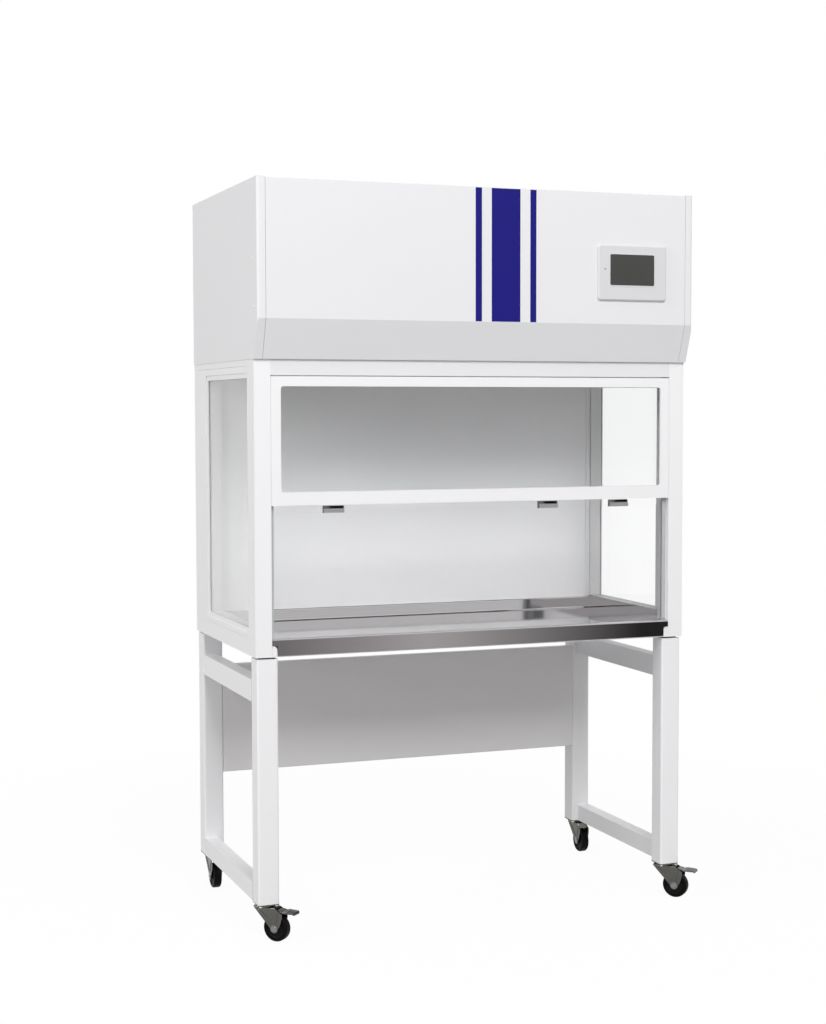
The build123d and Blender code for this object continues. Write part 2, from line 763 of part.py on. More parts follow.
# ================================================================ work tray
tray_half = opening_half - tray_side_gap
tray_side_start = guide_front + guide_deep + tray_side_lag
tray_back = back_wall_y - tray_back_gap
lip_z = tray_z + tray_lip
with BuildPart() as work_tray:
    with BuildSketch(profile(-opening_half + slip)):
        with BuildLine():
            FilletPolyline(
                (-tray_nose, cabinet_bottom + apron_low),
                (-tray_nose, lip_z),
                (-tray_nose + tray_lip_deep, lip_z),
                (-tray_nose + tray_lip_deep, tray_z),
                (tray_back, tray_z),
                (tray_back, tray_z + tray_back_rise),
                (back_wall_y - slip, tray_z + tray_back_rise),
                radius=tray_bend,
            )
            offset(amount=tray_sheet, side=Side.RIGHT)
        make_face()
    extrude(amount=2 * (opening_half - slip))
    # The apron hangs between the sills.
    with BuildSketch(elevation(-tray_nose)):
        with Locations((-opening_half, sill_top), (opening_half, sill_top)):
            Rectangle(2 * (sill_step + seam), 2 * sill_height, align=(Align.CENTER, Align.MAX))
    extrude(amount=-back_wall_y, mode=Mode.SUBTRACT)
    # Side upstands, whose lower edges stand on the sills.
    with BuildSketch(level(sill_top)):
        with GridLocations(2 * tray_half - tray_sheet, 0, 2, 1):
            with Locations((0, tray_side_start)):
                Rectangle(tray_sheet, tray_back - tray_side_start, align=(Align.CENTER, Align.MIN))
    extrude(amount=tray_z - sill_top + tray_side_rise)
finish("work_tray", work_tray.part)

# ================================================================ lighting
batten_low = cabinet_top - batten_height
tube_z = batten_low - socket_drop / 2
tube_half = batten_half - socket_length
with BuildPart() as lamp_batten:
    with BuildSketch(profile(-batten_half)) as batten_section:
        with Locations((batten_y, cabinet_top)):
            Rectangle(batten_width, batten_height, align=(Align.CENTER, Align.MAX))
        chamfer(batten_section.vertices().group_by(Axis.Y)[0], length=batten_height / 2)
    extrude(amount=2 * batten_half)
    with BuildSketch(level(batten_low)):
        with Locations((-batten_half, batten_y), (tube_half, batten_y)):
            Rectangle(socket_length, batten_width - batten_height, align=(Align.MIN, Align.CENTER))
    extrude(amount=-socket_drop)
finish("lamp_batten", lamp_batten.part)

for tube_name, tube_y in (
    ("lamp_tube", batten_y - lamp_spacing / 2),
    ("uv_tube", batten_y + lamp_spacing / 2),
):
    with BuildPart() as tube:
        with BuildSketch(profile(-tube_half)):
            with Locations((tube_y, tube_z)):
                Circle(lamp_radius)
        extrude(amount=2 * tube_half)
    finish(tube_name, tube.part)

# ================================================================ air path
fan_spot = (0, fan_y)
with BuildPart() as ceiling_frame:
    with BuildSketch(level(cabinet_top)):
        with Locations((0, canopy_sheet - cap_back + slip)):
            Rectangle(
                2 * (canopy_half - canopy_sheet - slip),
                cabinet_depth - 2 * canopy_sheet + cap_back - 2 * slip,
                align=(Align.CENTER, Align.MIN),
            )
        with Locations((0, filter_y)):
            Rectangle(
                filter_length - 2 * ceiling_lap, filter_width - 2 * ceiling_lap, mode=Mode.SUBTRACT
            )
    extrude(amount=ceiling_sheet)
finish("ceiling_frame", ceiling_frame.part)

with BuildPart() as diffuser:
    with BuildSketch(level(cabinet_top)):
        with Locations((0, filter_y)):
            Rectangle(filter_length, filter_width)
            with GridLocations(diffuser_pitch, 0, diffuser_slots, 1):
                Rectangle(diffuser_slot, filter_width - 3 * ceiling_lap, mode=Mode.SUBTRACT)
    extrude(amount=-diffuser_sheet)
finish("diffuser", diffuser.part)

with BuildPart() as hepa_filter:
    with BuildSketch(level(cabinet_top + ceiling_sheet)):
        with Locations((0, filter_y)):
            Rectangle(filter_length, filter_width)
    extrude(amount=filter_height)
    with BuildSketch(level(cabinet_top + ceiling_sheet), level(cabinet_top + ceiling_sheet + filter_height)):
        with Locations((0, filter_y)):
            Rectangle(filter_length - 2 * filter_rim, filter_width - 2 * filter_rim)
    extrude(amount=filter_face_set, both=True, mode=Mode.SUBTRACT)
finish("hepa_filter", hepa_filter.part)

# Deck that carries the fan: side flanges, a rolled inlet, and a bridge below for the motor.
deck_z = cabinet_top + deck_rise
inlet_foot = deck_z - inlet_lip
impeller_top = inlet_foot - impeller_gap
impeller_low = impeller_top - impeller_height
motor_top = impeller_low - motor_gap
bridge_top = motor_top - motor_height
with BuildPart() as fan_deck:
    with BuildSketch(level(deck_z)):
        with Locations((0, 0)):
            Rectangle(
                2 * (canopy_half - canopy_sheet),
                cabinet_depth - canopy_sheet,
                align=(Align.CENTER, Align.MIN),
            )
        with Locations(fan_spot):
            Circle(inlet_radius + inlet_round, mode=Mode.SUBTRACT)
    extrude(amount=deck_sheet)
    with BuildSketch(level(deck_z)):
        with Locations((-(canopy_half - canopy_sheet), 0)):
            Rectangle(deck_sheet, cabinet_depth - canopy_sheet, align=(Align.MIN, Align.MIN))
        with Locations((canopy_half - canopy_sheet, 0)):
            Rectangle(deck_sheet, cabinet_depth - canopy_sheet, align=(Align.MAX, Align.MIN))
    extrude(amount=-deck_flange)
    # rolled inlet
    with BuildSketch(profile(0)):
        with BuildLine():
            rim = Line(
                (fan_y + inlet_radius + inlet_round + deck_sheet, deck_z + deck_sheet),
                (fan_y + inlet_radius + inlet_round, deck_z + deck_sheet),
            )
            roll = RadiusArc(rim @ 1, (fan_y + inlet_radius, deck_z + deck_sheet - inlet_round), -inlet_round)
            Line(roll @ 1, (fan_y + inlet_radius, inlet_foot))
            offset(amount=deck_sheet, side=Side.LEFT, kind=Kind.INTERSECTION)
        make_face()
    revolve(axis=Axis((shift_x, shift_y + fan_y, 0), (0, 0, 1)))
    # motor bridge
    with BuildSketch(elevation(fan_y - bridge_width / 2)):
        with Locations((0, deck_z)):
            Rectangle(2 * bridge_half, deck_z - bridge_top + bridge_sheet, align=(Align.CENTER, Align.MAX))
            Rectangle(
                2 * (bridge_half - bridge_sheet),
                deck_z - bridge_top,
                align=(Align.CENTER, Align.MAX),
                mode=Mode.SUBTRACT,
            )
    extrude(amount=-bridge_width)
finish("fan_deck", fan_deck.part)

with BuildPart() as motor:
    with BuildSketch(level(bridge_top)):
        with Locations(fan_spot):
            Circle(motor_radius)
    extrude(amount=motor_height)
    fillet(motor.faces().sort_by(Axis.Z)[-1].edges(), radius=motor_round)
    with BuildSketch(level(motor_top)):
        with Locations(fan_spot):
            Circle(shaft_collar)
    extrude(amount=motor_gap)
    with BuildSketch(level(motor_top)):
        with Locations(fan_spot):
            Circle(shaft_radius)
    extrude(amount=motor_gap + hub_height)
finish("motor", motor.part)

# Backward-curved impeller: back plate with hub, curved blades and a shroud ring.
with BuildSketch() as blade:
    with BuildLine():
        RadiusArc((blade_root, 0), (blade_tip_x, blade_tip_y), blade_curve)
        offset(amount=blade_thick, side=Side.LEFT)
    make_face()

with BuildPart() as impeller:
    with BuildSketch(level(impeller_low)):
        with Locations(fan_spot):
            Circle(impeller_radius)
    extrude(amount=impeller_plate)
    with BuildSketch(level(impeller_low)):
        with Locations(fan_spot):
            Circle(hub_outer)
    extrude(amount=hub_height)
    with BuildSketch(level(impeller_low + impeller_plate)):
        with Locations(fan_spot):
            with PolarLocations(0, blade_count):
                add(blade.sketch)
    extrude(amount=impeller_height - 2 * impeller_plate)
    with BuildSketch(level(impeller_top)):
        with Locations(fan_spot):
            Circle(impeller_radius)
            Circle(impeller_eye, mode=Mode.SUBTRACT)
    extrude(amount=-impeller_plate)
    with BuildSketch(level(impeller_low)):
        with Locations(fan_spot):
            Circle(shaft_radius + running)
    extrude(amount=hub_height, mode=Mode.SUBTRACT)
finish("impeller", impeller.part)

# ================================================================ canopy
fascia_y = -canopy_overhang
hinge_y = fascia_y + hinge_set
hinge_z = canopy_top - canopy_sheet - hinge_set
cap_inner = canopy_half - cap_width

# Shell folded from sheet, open at the front and below.
with BuildPart() as canopy_shell:
    with BuildSketch(level(cabinet_top)):
        with Locations((0, -cap_back)):
            Rectangle(2 * canopy_half, cabinet_depth + cap_back, align=(Align.CENTER, Align.MIN))
    extrude(amount=canopy_height)
    shell_front = canopy_shell.faces().sort_by(Axis.Y)[0]
    shell_foot = canopy_shell.faces().sort_by(Axis.Z)[0]
    offset(amount=-canopy_sheet, openings=[shell_front, shell_foot])
    with BuildSketch(profile(-cap_inner + slip)):
        with BuildLine():
            Polyline(
                (-cap_back, canopy_top),
                (-roof_edge, canopy_top),
                (-roof_edge, canopy_top - roof_flange),
            )
            offset(amount=canopy_sheet, side=Side.LEFT, kind=Kind.INTERSECTION)
        make_face()
    extrude(amount=2 * (cap_inner - slip))
    with BuildSketch(level(canopy_top)):
        with Locations(fan_spot):
            Rectangle(prefilter_length, prefilter_width)
    extrude(amount=-canopy_sheet, mode=Mode.SUBTRACT)
    with BuildSketch(elevation(cabinet_depth)):
        with Locations((inlet_x, cabinet_top + inlet_rise)):
            Rectangle(inlet_body_width + seam, inlet_body_height + seam)
    extrude(amount=-canopy_sheet, both=True, mode=Mode.SUBTRACT)
finish("canopy_shell", canopy_shell.part)

# End cap: a folded cover with a rounded front corner, open to the rear.
with BuildPart() as left_end_cap:
    with BuildSketch(profile(-canopy_half)):
        with BuildLine():
            Polyline(
                (-cap_back, cabinet_top),
                (-bevel_foot, cabinet_top),
                (fascia_y, cabinet_top + bevel_height),
                (fascia_y, canopy_top),
                (-cap_back, canopy_top),
                close=True,
            )
        make_face()
    extrude(amount=cap_width)
    cap_front = left_end_cap.edges().filter_by(Axis.Z).group_by(Axis.Y)[0].sort_by(Axis.X)[0]
    fillet(cap_front, radius=cap_round)
    cap_rear = left_end_cap.faces().sort_by(Axis.Y)[-1]
    offset(amount=-canopy_sheet, openings=cap_rear)
    with BuildSketch(profile(-cap_inner)):
        with Locations((hinge_y, hinge_z)):
            Circle(hinge_radius + running)
    extrude(amount=-2 * canopy_sheet, mode=Mode.SUBTRACT)
finish("left_end_cap", left_end_cap.part)

with BuildPart() as right_end_cap:
    mirror(left_end_cap.part, about=middle)
finish("right_end_cap", right_end_cap.part)

with BuildPart() as end_cap_screws:
    for side in (-1, 1):
        with BuildSketch(profile(side * canopy_half)):
            for screw_height in cap_screw_heights:
                with Locations((-cap_screw_y, cabinet_top + screw_height)):
                    Circle(cap_screw_radius)
        extrude(amount=side * cap_screw_height, taper=30)
finish("end_cap_screws", end_cap_screws.part)

# Fascia door: a tray folded from sheet, hung on the hinge rod by rolled knuckles.
door_half = cap_inner - door_side_gap
door_top = canopy_top - canopy_sheet
bezel_z = cabinet_top + bezel_rise
bezel_box_width = bezel_width - 2 * bezel_box_margin
bezel_box_height = bezel_height - 2 * bezel_box_margin
knuckle_pitch = 2 * door_half / knuckle_count
with BuildPart() as fascia_door:
    with BuildSketch(profile(-door_half)):
        with BuildLine():
            FilletPolyline(
                (fascia_y + door_return, door_top),
                (fascia_y, door_top),
                (fascia_y, cabinet_top + bevel_height),
                (-bevel_foot, cabinet_top),
                (-bevel_foot + canopy_sheet + door_bend, cabinet_top),
                radius=door_bend,
            )
            offset(amount=canopy_sheet, side=Side.LEFT)
        make_face()
    extrude(amount=2 * door_half)
    for knuckle in range(knuckle_count):
        with BuildSketch(profile(-door_half + (knuckle + 0.5) * knuckle_pitch - knuckle_length / 2)):
            with Locations((hinge_y, hinge_z)):
                Circle(knuckle_radius)
        extrude(amount=knuckle_length)
    with BuildSketch(profile(-door_half)):
        with Locations((hinge_y, hinge_z)):
            Circle(hinge_radius + running)
    extrude(amount=2 * door_half, mode=Mode.SUBTRACT)
    with BuildSketch(elevation(fascia_y)):
        with Locations((bezel_x, bezel_z)):
            Rectangle(bezel_box_width + 2 * seam, bezel_box_height + 2 * seam)
    extrude(amount=-2 * canopy_sheet, both=True, mode=Mode.SUBTRACT)
finish("fascia_door", fascia_door.part)

with BuildPart() as fascia_hinge:
    with BuildSketch(profile(-cap_inner - canopy_sheet)):
        with Locations((hinge_y, hinge_z)):
            Circle(hinge_radius)
    extrude(amount=2 * (cap_inner + canopy_sheet))
finish("fascia_hinge", fascia_hinge.part)

with BuildPart() as fascia_stripes:
    with BuildSketch(elevation(fascia_y)):
        for stripe_left, stripe_right in stripe_edges:
            with Locations((stripe_left, cabinet_top + bevel_height + stripe_edge)):
                Rectangle(
                    stripe_right - stripe_left,
                    door_top - cabinet_top - bevel_height - door_bend - 2 * stripe_edge,
                    align=(Align.MIN, Align.MIN),
                )
    extrude(amount=stripe_thick)
finish("fascia_stripes", fascia_stripes.part)

# Touch panel housing, set through the fascia, with a bevelled frame.
screen_spot = (bezel_x + screen_shift, bezel_z + screen_rise)
with BuildPart() as touch_bezel:
    with BuildSketch(elevation(fascia_y)):
        with Locations((bezel_x, bezel_z)):
            RectangleRounded(bezel_width, bezel_height, bezel_corner)
    extrude(amount=bezel_proud)
    chamfer(touch_bezel.faces().sort_by(Axis.Y)[0].edges(), length=bezel_bevel)
    with BuildSketch(elevation(fascia_y)):
        with Locations((bezel_x, bezel_z)):
            Rectangle(bezel_box_width, bezel_box_height)
    extrude(amount=-bezel_box_deep)
    with BuildSketch(elevation(fascia_y - bezel_proud)):
        with Locations(screen_spot):
            RectangleRounded(
                screen_width + 2 * screen_lip,
                screen_height + 2 * screen_lip,
                screen_corner + screen_lip,
            )
    extrude(amount=screen_lip_proud)
    with BuildSketch(elevation(fascia_y - bezel_proud)):
        with Locations(screen_spot):
            RectangleRounded(screen_width + 2 * slip, screen_height + 2 * slip, screen_corner + slip)
    extrude(amount=screen_thick, both=True, mode=Mode.SUBTRACT)
    with BuildSketch(elevation(fascia_y - bezel_proud)):
        with Locations((bezel_x - bezel_width / 2 + lamp_set, bezel_z + lamp_rise)):
            Circle(lamp_hole)
    extrude(amount=-lamp_hole_deep, mode=Mode.SUBTRACT)
finish("touch_bezel", touch_bezel.part)

with BuildPart() as touch_screen:
    with BuildSketch(elevation(fascia_y - bezel_proud)):
        with Locations(screen_spot):
            RectangleRounded(screen_width, screen_height, screen_corner)
    extrude(amount=-screen_thick)
finish("touch_screen", touch_screen.part)

# Roof grille with its prefilter pad beneath.
roof_low = canopy_top - canopy_sheet
bar_pitch = (prefilter_length - 2 * prefilter_rim) / (prefilter_bars + 1)
with BuildPart() as prefilter_frame:
    with BuildSketch(level(canopy_top)):
        with Locations(fan_spot):
            Rectangle(prefilter_length - 2 * seam, prefilter_width - 2 * seam)
            Rectangle(
                prefilter_length - 2 * prefilter_rim,
                prefilter_width - 2 * prefilter_rim,
                mode=Mode.SUBTRACT,
            )
            with GridLocations(bar_pitch, 0, prefilter_bars, 1):
                Rectangle(prefilter_bar, prefilter_width - prefilter_rim)
    extrude(amount=-canopy_sheet)
    with BuildSketch(level(roof_low)):
        with Locations(fan_spot):
            Rectangle(prefilter_length + prefilter_rim, prefilter_width + prefilter_rim)
            Rectangle(
                prefilter_length - 2 * prefilter_rim,
                prefilter_width - 2 * prefilter_rim,
                mode=Mode.SUBTRACT,
            )
    extrude(amount=-canopy_sheet)
finish("prefilter_frame", prefilter_frame.part)

with BuildPart() as prefilter_pad:
    with BuildSketch(level(roof_low - canopy_sheet)):
        with Locations(fan_spot):
            Rectangle(prefilter_length - prefilter_rim, prefilter_width - prefilter_rim)
    extrude(amount=-pad_thick)
finish("prefilter_pad", prefilter_pad.part)

# Power inlet: a flanged socket with line, neutral and earth pins.
inlet_z = cabinet_top + inlet_rise
with BuildPart() as power_inlet:
    with BuildSketch(elevation(cabinet_depth)):
        with Locations((inlet_x, inlet_z)):
            RectangleRounded(inlet_flange_width, inlet_flange_height, inlet_wall)
    extrude(amount=-inlet_flange)
    with BuildSketch(elevation(cabinet_depth)):
        with Locations((inlet_x, inlet_z)):
            Rectangle(inlet_body_width, inlet_body_height)
    extrude(amount=inlet_body_deep)
    with BuildSketch(elevation(cabinet_depth + inlet_flange)):
        with Locations((inlet_x, inlet_z)):
            Rectangle(inlet_body_width - 2 * inlet_wall, inlet_body_height - 2 * inlet_wall)
    extrude(amount=inlet_socket_deep, mode=Mode.SUBTRACT)
    with BuildSketch(elevation(cabinet_depth + inlet_flange - inlet_socket_deep)):
        with Locations(
            (inlet_x - inlet_pin_spacing, inlet_z),
            (inlet_x + inlet_pin_spacing, inlet_z),
            (inlet_x, inlet_z - inlet_earth_drop),
        ):
            Rectangle(inlet_pin_thick, inlet_pin_width)
    extrude(amount=-inlet_pin_length)
finish("power_inlet", power_inlet.part)
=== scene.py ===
"""Laminar flow hood: finishes, fine details, studio and camera around the fixed frame."""

from __future__ import annotations

import logging
import math
from dataclasses import dataclass
from enum import Enum

import bmesh
import bpy
from mathutils import Matrix, Vector

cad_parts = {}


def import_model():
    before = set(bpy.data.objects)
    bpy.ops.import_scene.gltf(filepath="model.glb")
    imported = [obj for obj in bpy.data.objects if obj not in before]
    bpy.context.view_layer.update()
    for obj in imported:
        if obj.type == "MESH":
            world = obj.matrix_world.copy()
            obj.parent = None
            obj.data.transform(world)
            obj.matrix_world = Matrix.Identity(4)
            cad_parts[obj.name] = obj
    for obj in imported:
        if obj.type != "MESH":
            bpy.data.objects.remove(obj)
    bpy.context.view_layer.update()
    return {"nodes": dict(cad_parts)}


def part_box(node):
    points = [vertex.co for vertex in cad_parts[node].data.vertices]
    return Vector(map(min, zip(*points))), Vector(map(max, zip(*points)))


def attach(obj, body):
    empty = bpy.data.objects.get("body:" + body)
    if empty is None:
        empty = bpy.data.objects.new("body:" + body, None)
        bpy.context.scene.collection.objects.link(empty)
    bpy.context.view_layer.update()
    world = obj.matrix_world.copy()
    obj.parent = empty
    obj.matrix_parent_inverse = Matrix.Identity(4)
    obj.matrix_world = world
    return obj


LOG = logging.getLogger("hood")
Colour = tuple[float, float, float]
Point = tuple[float, float, float]
Outline = list[tuple[float, float]]
Socket = bpy.types.NodeSocket
Form = bmesh.types.BMesh
Ring = list[bmesh.types.BMVert]

WHITE = (1.0, 1.0, 1.0, 1.0)
EVEN: Point = (1.0, 1.0, 1.0)
CREASE_DEGREES = 40.0
WELD_GAP = 1e-7
BEVEL_STEPS = 2
BEVEL_PROFILE = 0.6
CORNER_STEPS = 6
BEAD_SIDES = 8


class Side(Enum):
    """The two ends of the hood, with the sign of their x."""

    LEFT = -1
    RIGHT = 1


class Corner(Enum):
    """The four casters' corners."""

    FRONT_LEFT = "front_left"
    FRONT_RIGHT = "front_right"
    REAR_LEFT = "rear_left"
    REAR_RIGHT = "rear_right"

    @property
    def braked(self) -> bool:
        """Tells whether this corner's caster has a pedal."""
        return self in (Corner.FRONT_LEFT, Corner.FRONT_RIGHT)


class NodeSheet:
    """Lays out the shader nodes of one material or world."""

    def __init__(
        self,
        owner: bpy.types.Material | bpy.types.World,
        output: str = "ShaderNodeOutputMaterial",
    ) -> None:
        """Clears the owner's nodes and adds its output.

        Args:
            owner: The material or world that holds the nodes.
            output: The type name of its output node.
        """
        self.owner = owner
        owner.use_nodes = True
        self.tree = owner.node_tree
        self.tree.nodes.clear()
        self.output = self.add(output)

    def add(self, kind: str, **inputs: object) -> bpy.types.Node:
        """Adds a node and sets its input sockets by name.

        Args:
            kind: The node's type name.
            inputs: Socket names, with underscores for spaces, and their values.

        Returns:
            The new node.
        """
        node = self.tree.nodes.new(kind)
        for name, value in inputs.items():
            node.inputs[name.replace("_", " ")].default_value = value
        return node

    def link(self, source: Socket, target: Socket) -> None:
        """Joins two sockets."""
        self.tree.links.new(source, target)

    def show(self, shader: Socket) -> None:
        """Sends a shader to the output."""
        self.link(shader, self.output.inputs["Surface"])

    def place(self, stretch: Point = EVEN) -> Socket:
        """Gives the piece's own coordinates, stretched along each axis.

        Args:
            stretch: Factors along x, y and z.

        Returns:
            The vector socket.
        """
        coords = self.add("ShaderNodeTexCoord")
        mapping = self.add("ShaderNodeMapping", Scale=stretch)
        self.link(coords.outputs["Object"], mapping.inputs["Vector"])
        return mapping.outputs["Vector"]

    def axis(self, name: str) -> Socket:
        """Gives one of the piece's own coordinates.

        Args:
            name: X, Y or Z.

        Returns:
            The value socket, in metres.
        """
        parts = self.add("ShaderNodeSeparateXYZ")
        self.link(self.place(), parts.inputs["Vector"])
        return parts.outputs[name]

    def noise(self, scale: float, detail: float, stretch: Point = EVEN) -> Socket:
        """Adds a noise pattern.

        Args:
            scale: Cells per metre.
            detail: Octaves.
            stretch: Factors along x, y and z.

        Returns:
            The value socket, from 0 to 1.
        """
        node = self.add("ShaderNodeTexNoise", Scale=scale, Detail=detail)
        self.link(self.place(stretch), node.inputs["Vector"])
        return node.outputs["Fac"]

    def span(
        self, value: Socket, low: float, high: float, start: float = 0.0, stop: float = 1.0
    ) -> Socket:
        """Maps a value from one range to another.

        Args:
            value: The value socket.
            low: Result at the start.
            high: Result at the stop.
            start: Value at which the range starts.
            stop: Value at which it stops.

        Returns:
            The mapped socket.
        """
        node = self.add(
            "ShaderNodeMapRange", From_Min=start, From_Max=stop, To_Min=low, To_Max=high
        )
        self.link(value, node.inputs["Value"])
        return node.outputs["Result"]

    def maths(self, operation: str, first: Socket, second: Socket | float = 0.0) -> Socket:
        """Works out one value from a socket and a second socket or number.

        Args:
            operation: The operation's type name.
            first: The first value.
            second: The second value, where the operation takes one.

        Returns:
            The result socket.
        """
        node = self.add("ShaderNodeMath")
        node.operation = operation
        self.link(first, node.inputs[0])
        if isinstance(second, Socket):
            self.link(second, node.inputs[1])
        else:
            node.inputs[1].default_value = second
        return node.outputs[0]

    def blend(self, factor: Socket, first: Colour, second: Colour) -> Socket:
        """Mixes two colours.

        Args:
            factor: Share of the second colour.
            first: Colour at 0.
            second: Colour at 1.

        Returns:
            The colour socket.
        """
        node = self.add("ShaderNodeMix")
        node.data_type = "RGBA"
        node.inputs[6].default_value = (*first, 1.0)
        node.inputs[7].default_value = (*second, 1.0)
        self.link(factor, node.inputs[0])
        return node.outputs[2]

    def mix(self, factor: Socket, first: Socket, second: Socket) -> Socket:
        """Mixes two shaders.

        Args:
            factor: Share of the second shader.
            first: Shader at 0.
            second: Shader at 1.

        Returns:
            The shader socket.
        """
        node = self.add("ShaderNodeMixShader")
        for place, socket in enumerate((factor, first, second)):
            self.link(socket, node.inputs[place])
        return node.outputs["Shader"]

    def bump(self, height: Socket, strength: float, depth: float) -> Socket:
        """Turns a height pattern into a normal.

        Args:
            height: The height socket.
            strength: Share of the effect.
            depth: Height of the pattern in metres.

        Returns:
            The normal socket.
        """
        node = self.add("ShaderNodeBump", Strength=strength, Distance=depth)
        self.link(height, node.inputs["Height"])
        return node.outputs["Normal"]

    def skin(
        self, shader: bpy.types.Node, colour: Socket, roughness: Socket, normal: Socket
    ) -> Socket:
        """Gives a shader its patterns.

        Args:
            shader: The principled shader node.
            colour: Its colour.
            roughness: Its roughness.
            normal: Its normal.

        Returns:
            The shader socket.
        """
        self.link(colour, shader.inputs["Base Color"])
        self.link(roughness, shader.inputs["Roughness"])
        self.link(normal, shader.inputs["Normal"])
        return shader.outputs["BSDF"]


class Finish:
    """A surface finish that can be laid on pieces."""

    name: str

    def shade(self, sheet: NodeSheet) -> Socket:
        """Lays out the finish's nodes and returns its shader socket."""
        raise NotImplementedError

    def material(self) -> bpy.types.Material:
        """Makes the finish's material when it is first asked for.

        Returns:
            The material.
        """
        name = f"{self.name}_finish"
        if name in bpy.data.materials:
            return bpy.data.materials[name]
        sheet = NodeSheet(bpy.data.materials.new(name))
        sheet.show(self.shade(sheet))
        return sheet.owner

    def dress(self, piece: bpy.types.Object) -> None:
        """Lays the finish on every slot of a piece.

        Args:
            piece: The mesh object.
        """
        if not piece.material_slots:
            piece.data.materials.append(self.material())
        for slot in piece.material_slots:
            slot.material = self.material()


@dataclass(frozen=True)
class PowderCoat(Finish):
    """Powder coat with a faint orange peel and slow changes of tone."""

    name: str
    colour: Colour
    deep: Colour
    roughness: float = 0.38
    smoother: float = 0.05
    rougher: float = 0.07
    tone_scale: float = 1.6
    peel_scale: float = 420.0
    peel: float = 0.10
    peel_depth: float = 0.0004

    def shade(self, sheet: NodeSheet) -> Socket:
        """Lays out the coat.

        Args:
            sheet: The material's node sheet.

        Returns:
            The shader socket.
        """
        tone = sheet.noise(self.tone_scale, detail=2.0)
        grain = sheet.noise(self.peel_scale, detail=2.0)
        return sheet.skin(
            sheet.add("ShaderNodeBsdfPrincipled", IOR=1.5),
            sheet.blend(tone, self.deep, self.colour),
            sheet.span(grain, self.roughness - self.smoother, self.roughness + self.rougher),
            sheet.bump(grain, self.peel, self.peel_depth),
        )


@dataclass(frozen=True)
class ChamberShadedCoat(Finish):
    """A wall coat, white outside, with painted shade on the side that faces the chamber.

    The darker shaded coat is laid where the wall is less than edge from the middle, further back
    than front from the header's face and no further back than rear from the back wall's face.
    """

    name: str
    outer: PowderCoat
    shaded_lining: PowderCoat
    edge: float
    front: float
    rear: float

    def shade(self, sheet: NodeSheet) -> Socket:
        """Lays out both coats and parts them by place.

        Args:
            sheet: The material's node sheet.

        Returns:
            The shader socket.
        """
        low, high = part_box("front_header")
        offset = sheet.maths("SUBTRACT", sheet.axis("X"), (low.x + high.x) / 2)
        inside = sheet.maths("LESS_THAN", sheet.maths("ABSOLUTE", offset), self.edge)
        back = sheet.axis("Y")
        behind = sheet.maths("GREATER_THAN", back, low.y + self.front)
        before = sheet.maths("LESS_THAN", back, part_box("back_wall")[0].y + self.rear)
        # Mask of the chamber-side faces that take the painted shade.
        in_chamber = sheet.maths("MULTIPLY", inside, sheet.maths("MULTIPLY", behind, before))
        return sheet.mix(in_chamber, self.outer.shade(sheet), self.shaded_lining.shade(sheet))


@dataclass(frozen=True)
class WorkedMetal(Finish):
    """Bare metal with a grain drawn along one direction."""

    name: str
    colour: Colour
    dull: Colour
    roughness: float
    grain: Point = (1.0, 40.0, 40.0)
    depth: float = 0.00005
    grain_scale: float = 12.0
    stain_scale: float = 7.0
    smoother: float = 0.75
    rougher: float = 1.25
    relief: float = 0.15

    def shade(self, sheet: NodeSheet) -> Socket:
        """Lays out the metal.

        Args:
            sheet: The material's node sheet.

        Returns:
            The shader socket.
        """
        lines = sheet.noise(self.grain_scale, detail=4.0, stretch=self.grain)
        stain = sheet.noise(self.stain_scale, detail=3.0)
        return sheet.skin(
            sheet.add("ShaderNodeBsdfPrincipled", Metallic=1.0),
            sheet.blend(stain, self.dull, self.colour),
            sheet.span(lines, self.roughness * self.smoother, self.roughness * self.rougher),
            sheet.bump(lines, self.relief, self.depth),
        )


@dataclass(frozen=True)
class Moulded(Finish):
    """Moulded plastic or rubber with a fine grain."""

    name: str
    colour: Colour
    worn: Colour
    roughness: float
    grain_scale: float = 900.0
    grain_depth: float = 0.0002
    index: float = 1.48
    patch_scale: float = 14.0
    smoother: float = 0.04
    rougher: float = 0.08
    relief: float = 0.2

    def shade(self, sheet: NodeSheet) -> Socket:
        """Lays out the plastic.

        Args:
            sheet: The material's node sheet.

        Returns:
            The shader socket.
        """
        patches = sheet.noise(self.patch_scale, detail=4.0)
        grain = sheet.noise(self.grain_scale, detail=2.0)
        return sheet.skin(
            sheet.add("ShaderNodeBsdfPrincipled", IOR=self.index),
            sheet.blend(patches, self.colour, self.worn),
            sheet.span(patches, self.roughness - self.smoother, self.roughness + self.rougher),
            sheet.bump(grain, self.relief, self.grain_depth),
        )


@dataclass(frozen=True)
class ClearGlass(Finish):
    """Float glass that lets the lamps through."""

    name: str
    tint: Colour
    roughness: float = 0.0
    index: float = 1.28
    haze_scale: float = 2.0
    haze: float = 0.99

    def shade(self, sheet: NodeSheet) -> Socket:
        """Lays out the glass.

        Args:
            sheet: The material's node sheet.

        Returns:
            The shader socket.
        """
        glass = sheet.add(
            "ShaderNodeBsdfPrincipled", Transmission_Weight=1.0, IOR=self.index,
            Roughness=self.roughness,
        )
        hazed = tuple(channel * self.haze for channel in self.tint)
        clouds = sheet.noise(self.haze_scale, detail=2.0)
        sheet.link(sheet.blend(clouds, hazed, self.tint), glass.inputs["Base Color"])
        clear = sheet.add("ShaderNodeBsdfTransparent", Color=(*self.tint, 1.0))
        path = sheet.add("ShaderNodeLightPath")
        return sheet.mix(
            path.outputs["Is Shadow Ray"], glass.outputs["BSDF"], clear.outputs["BSDF"]
        )


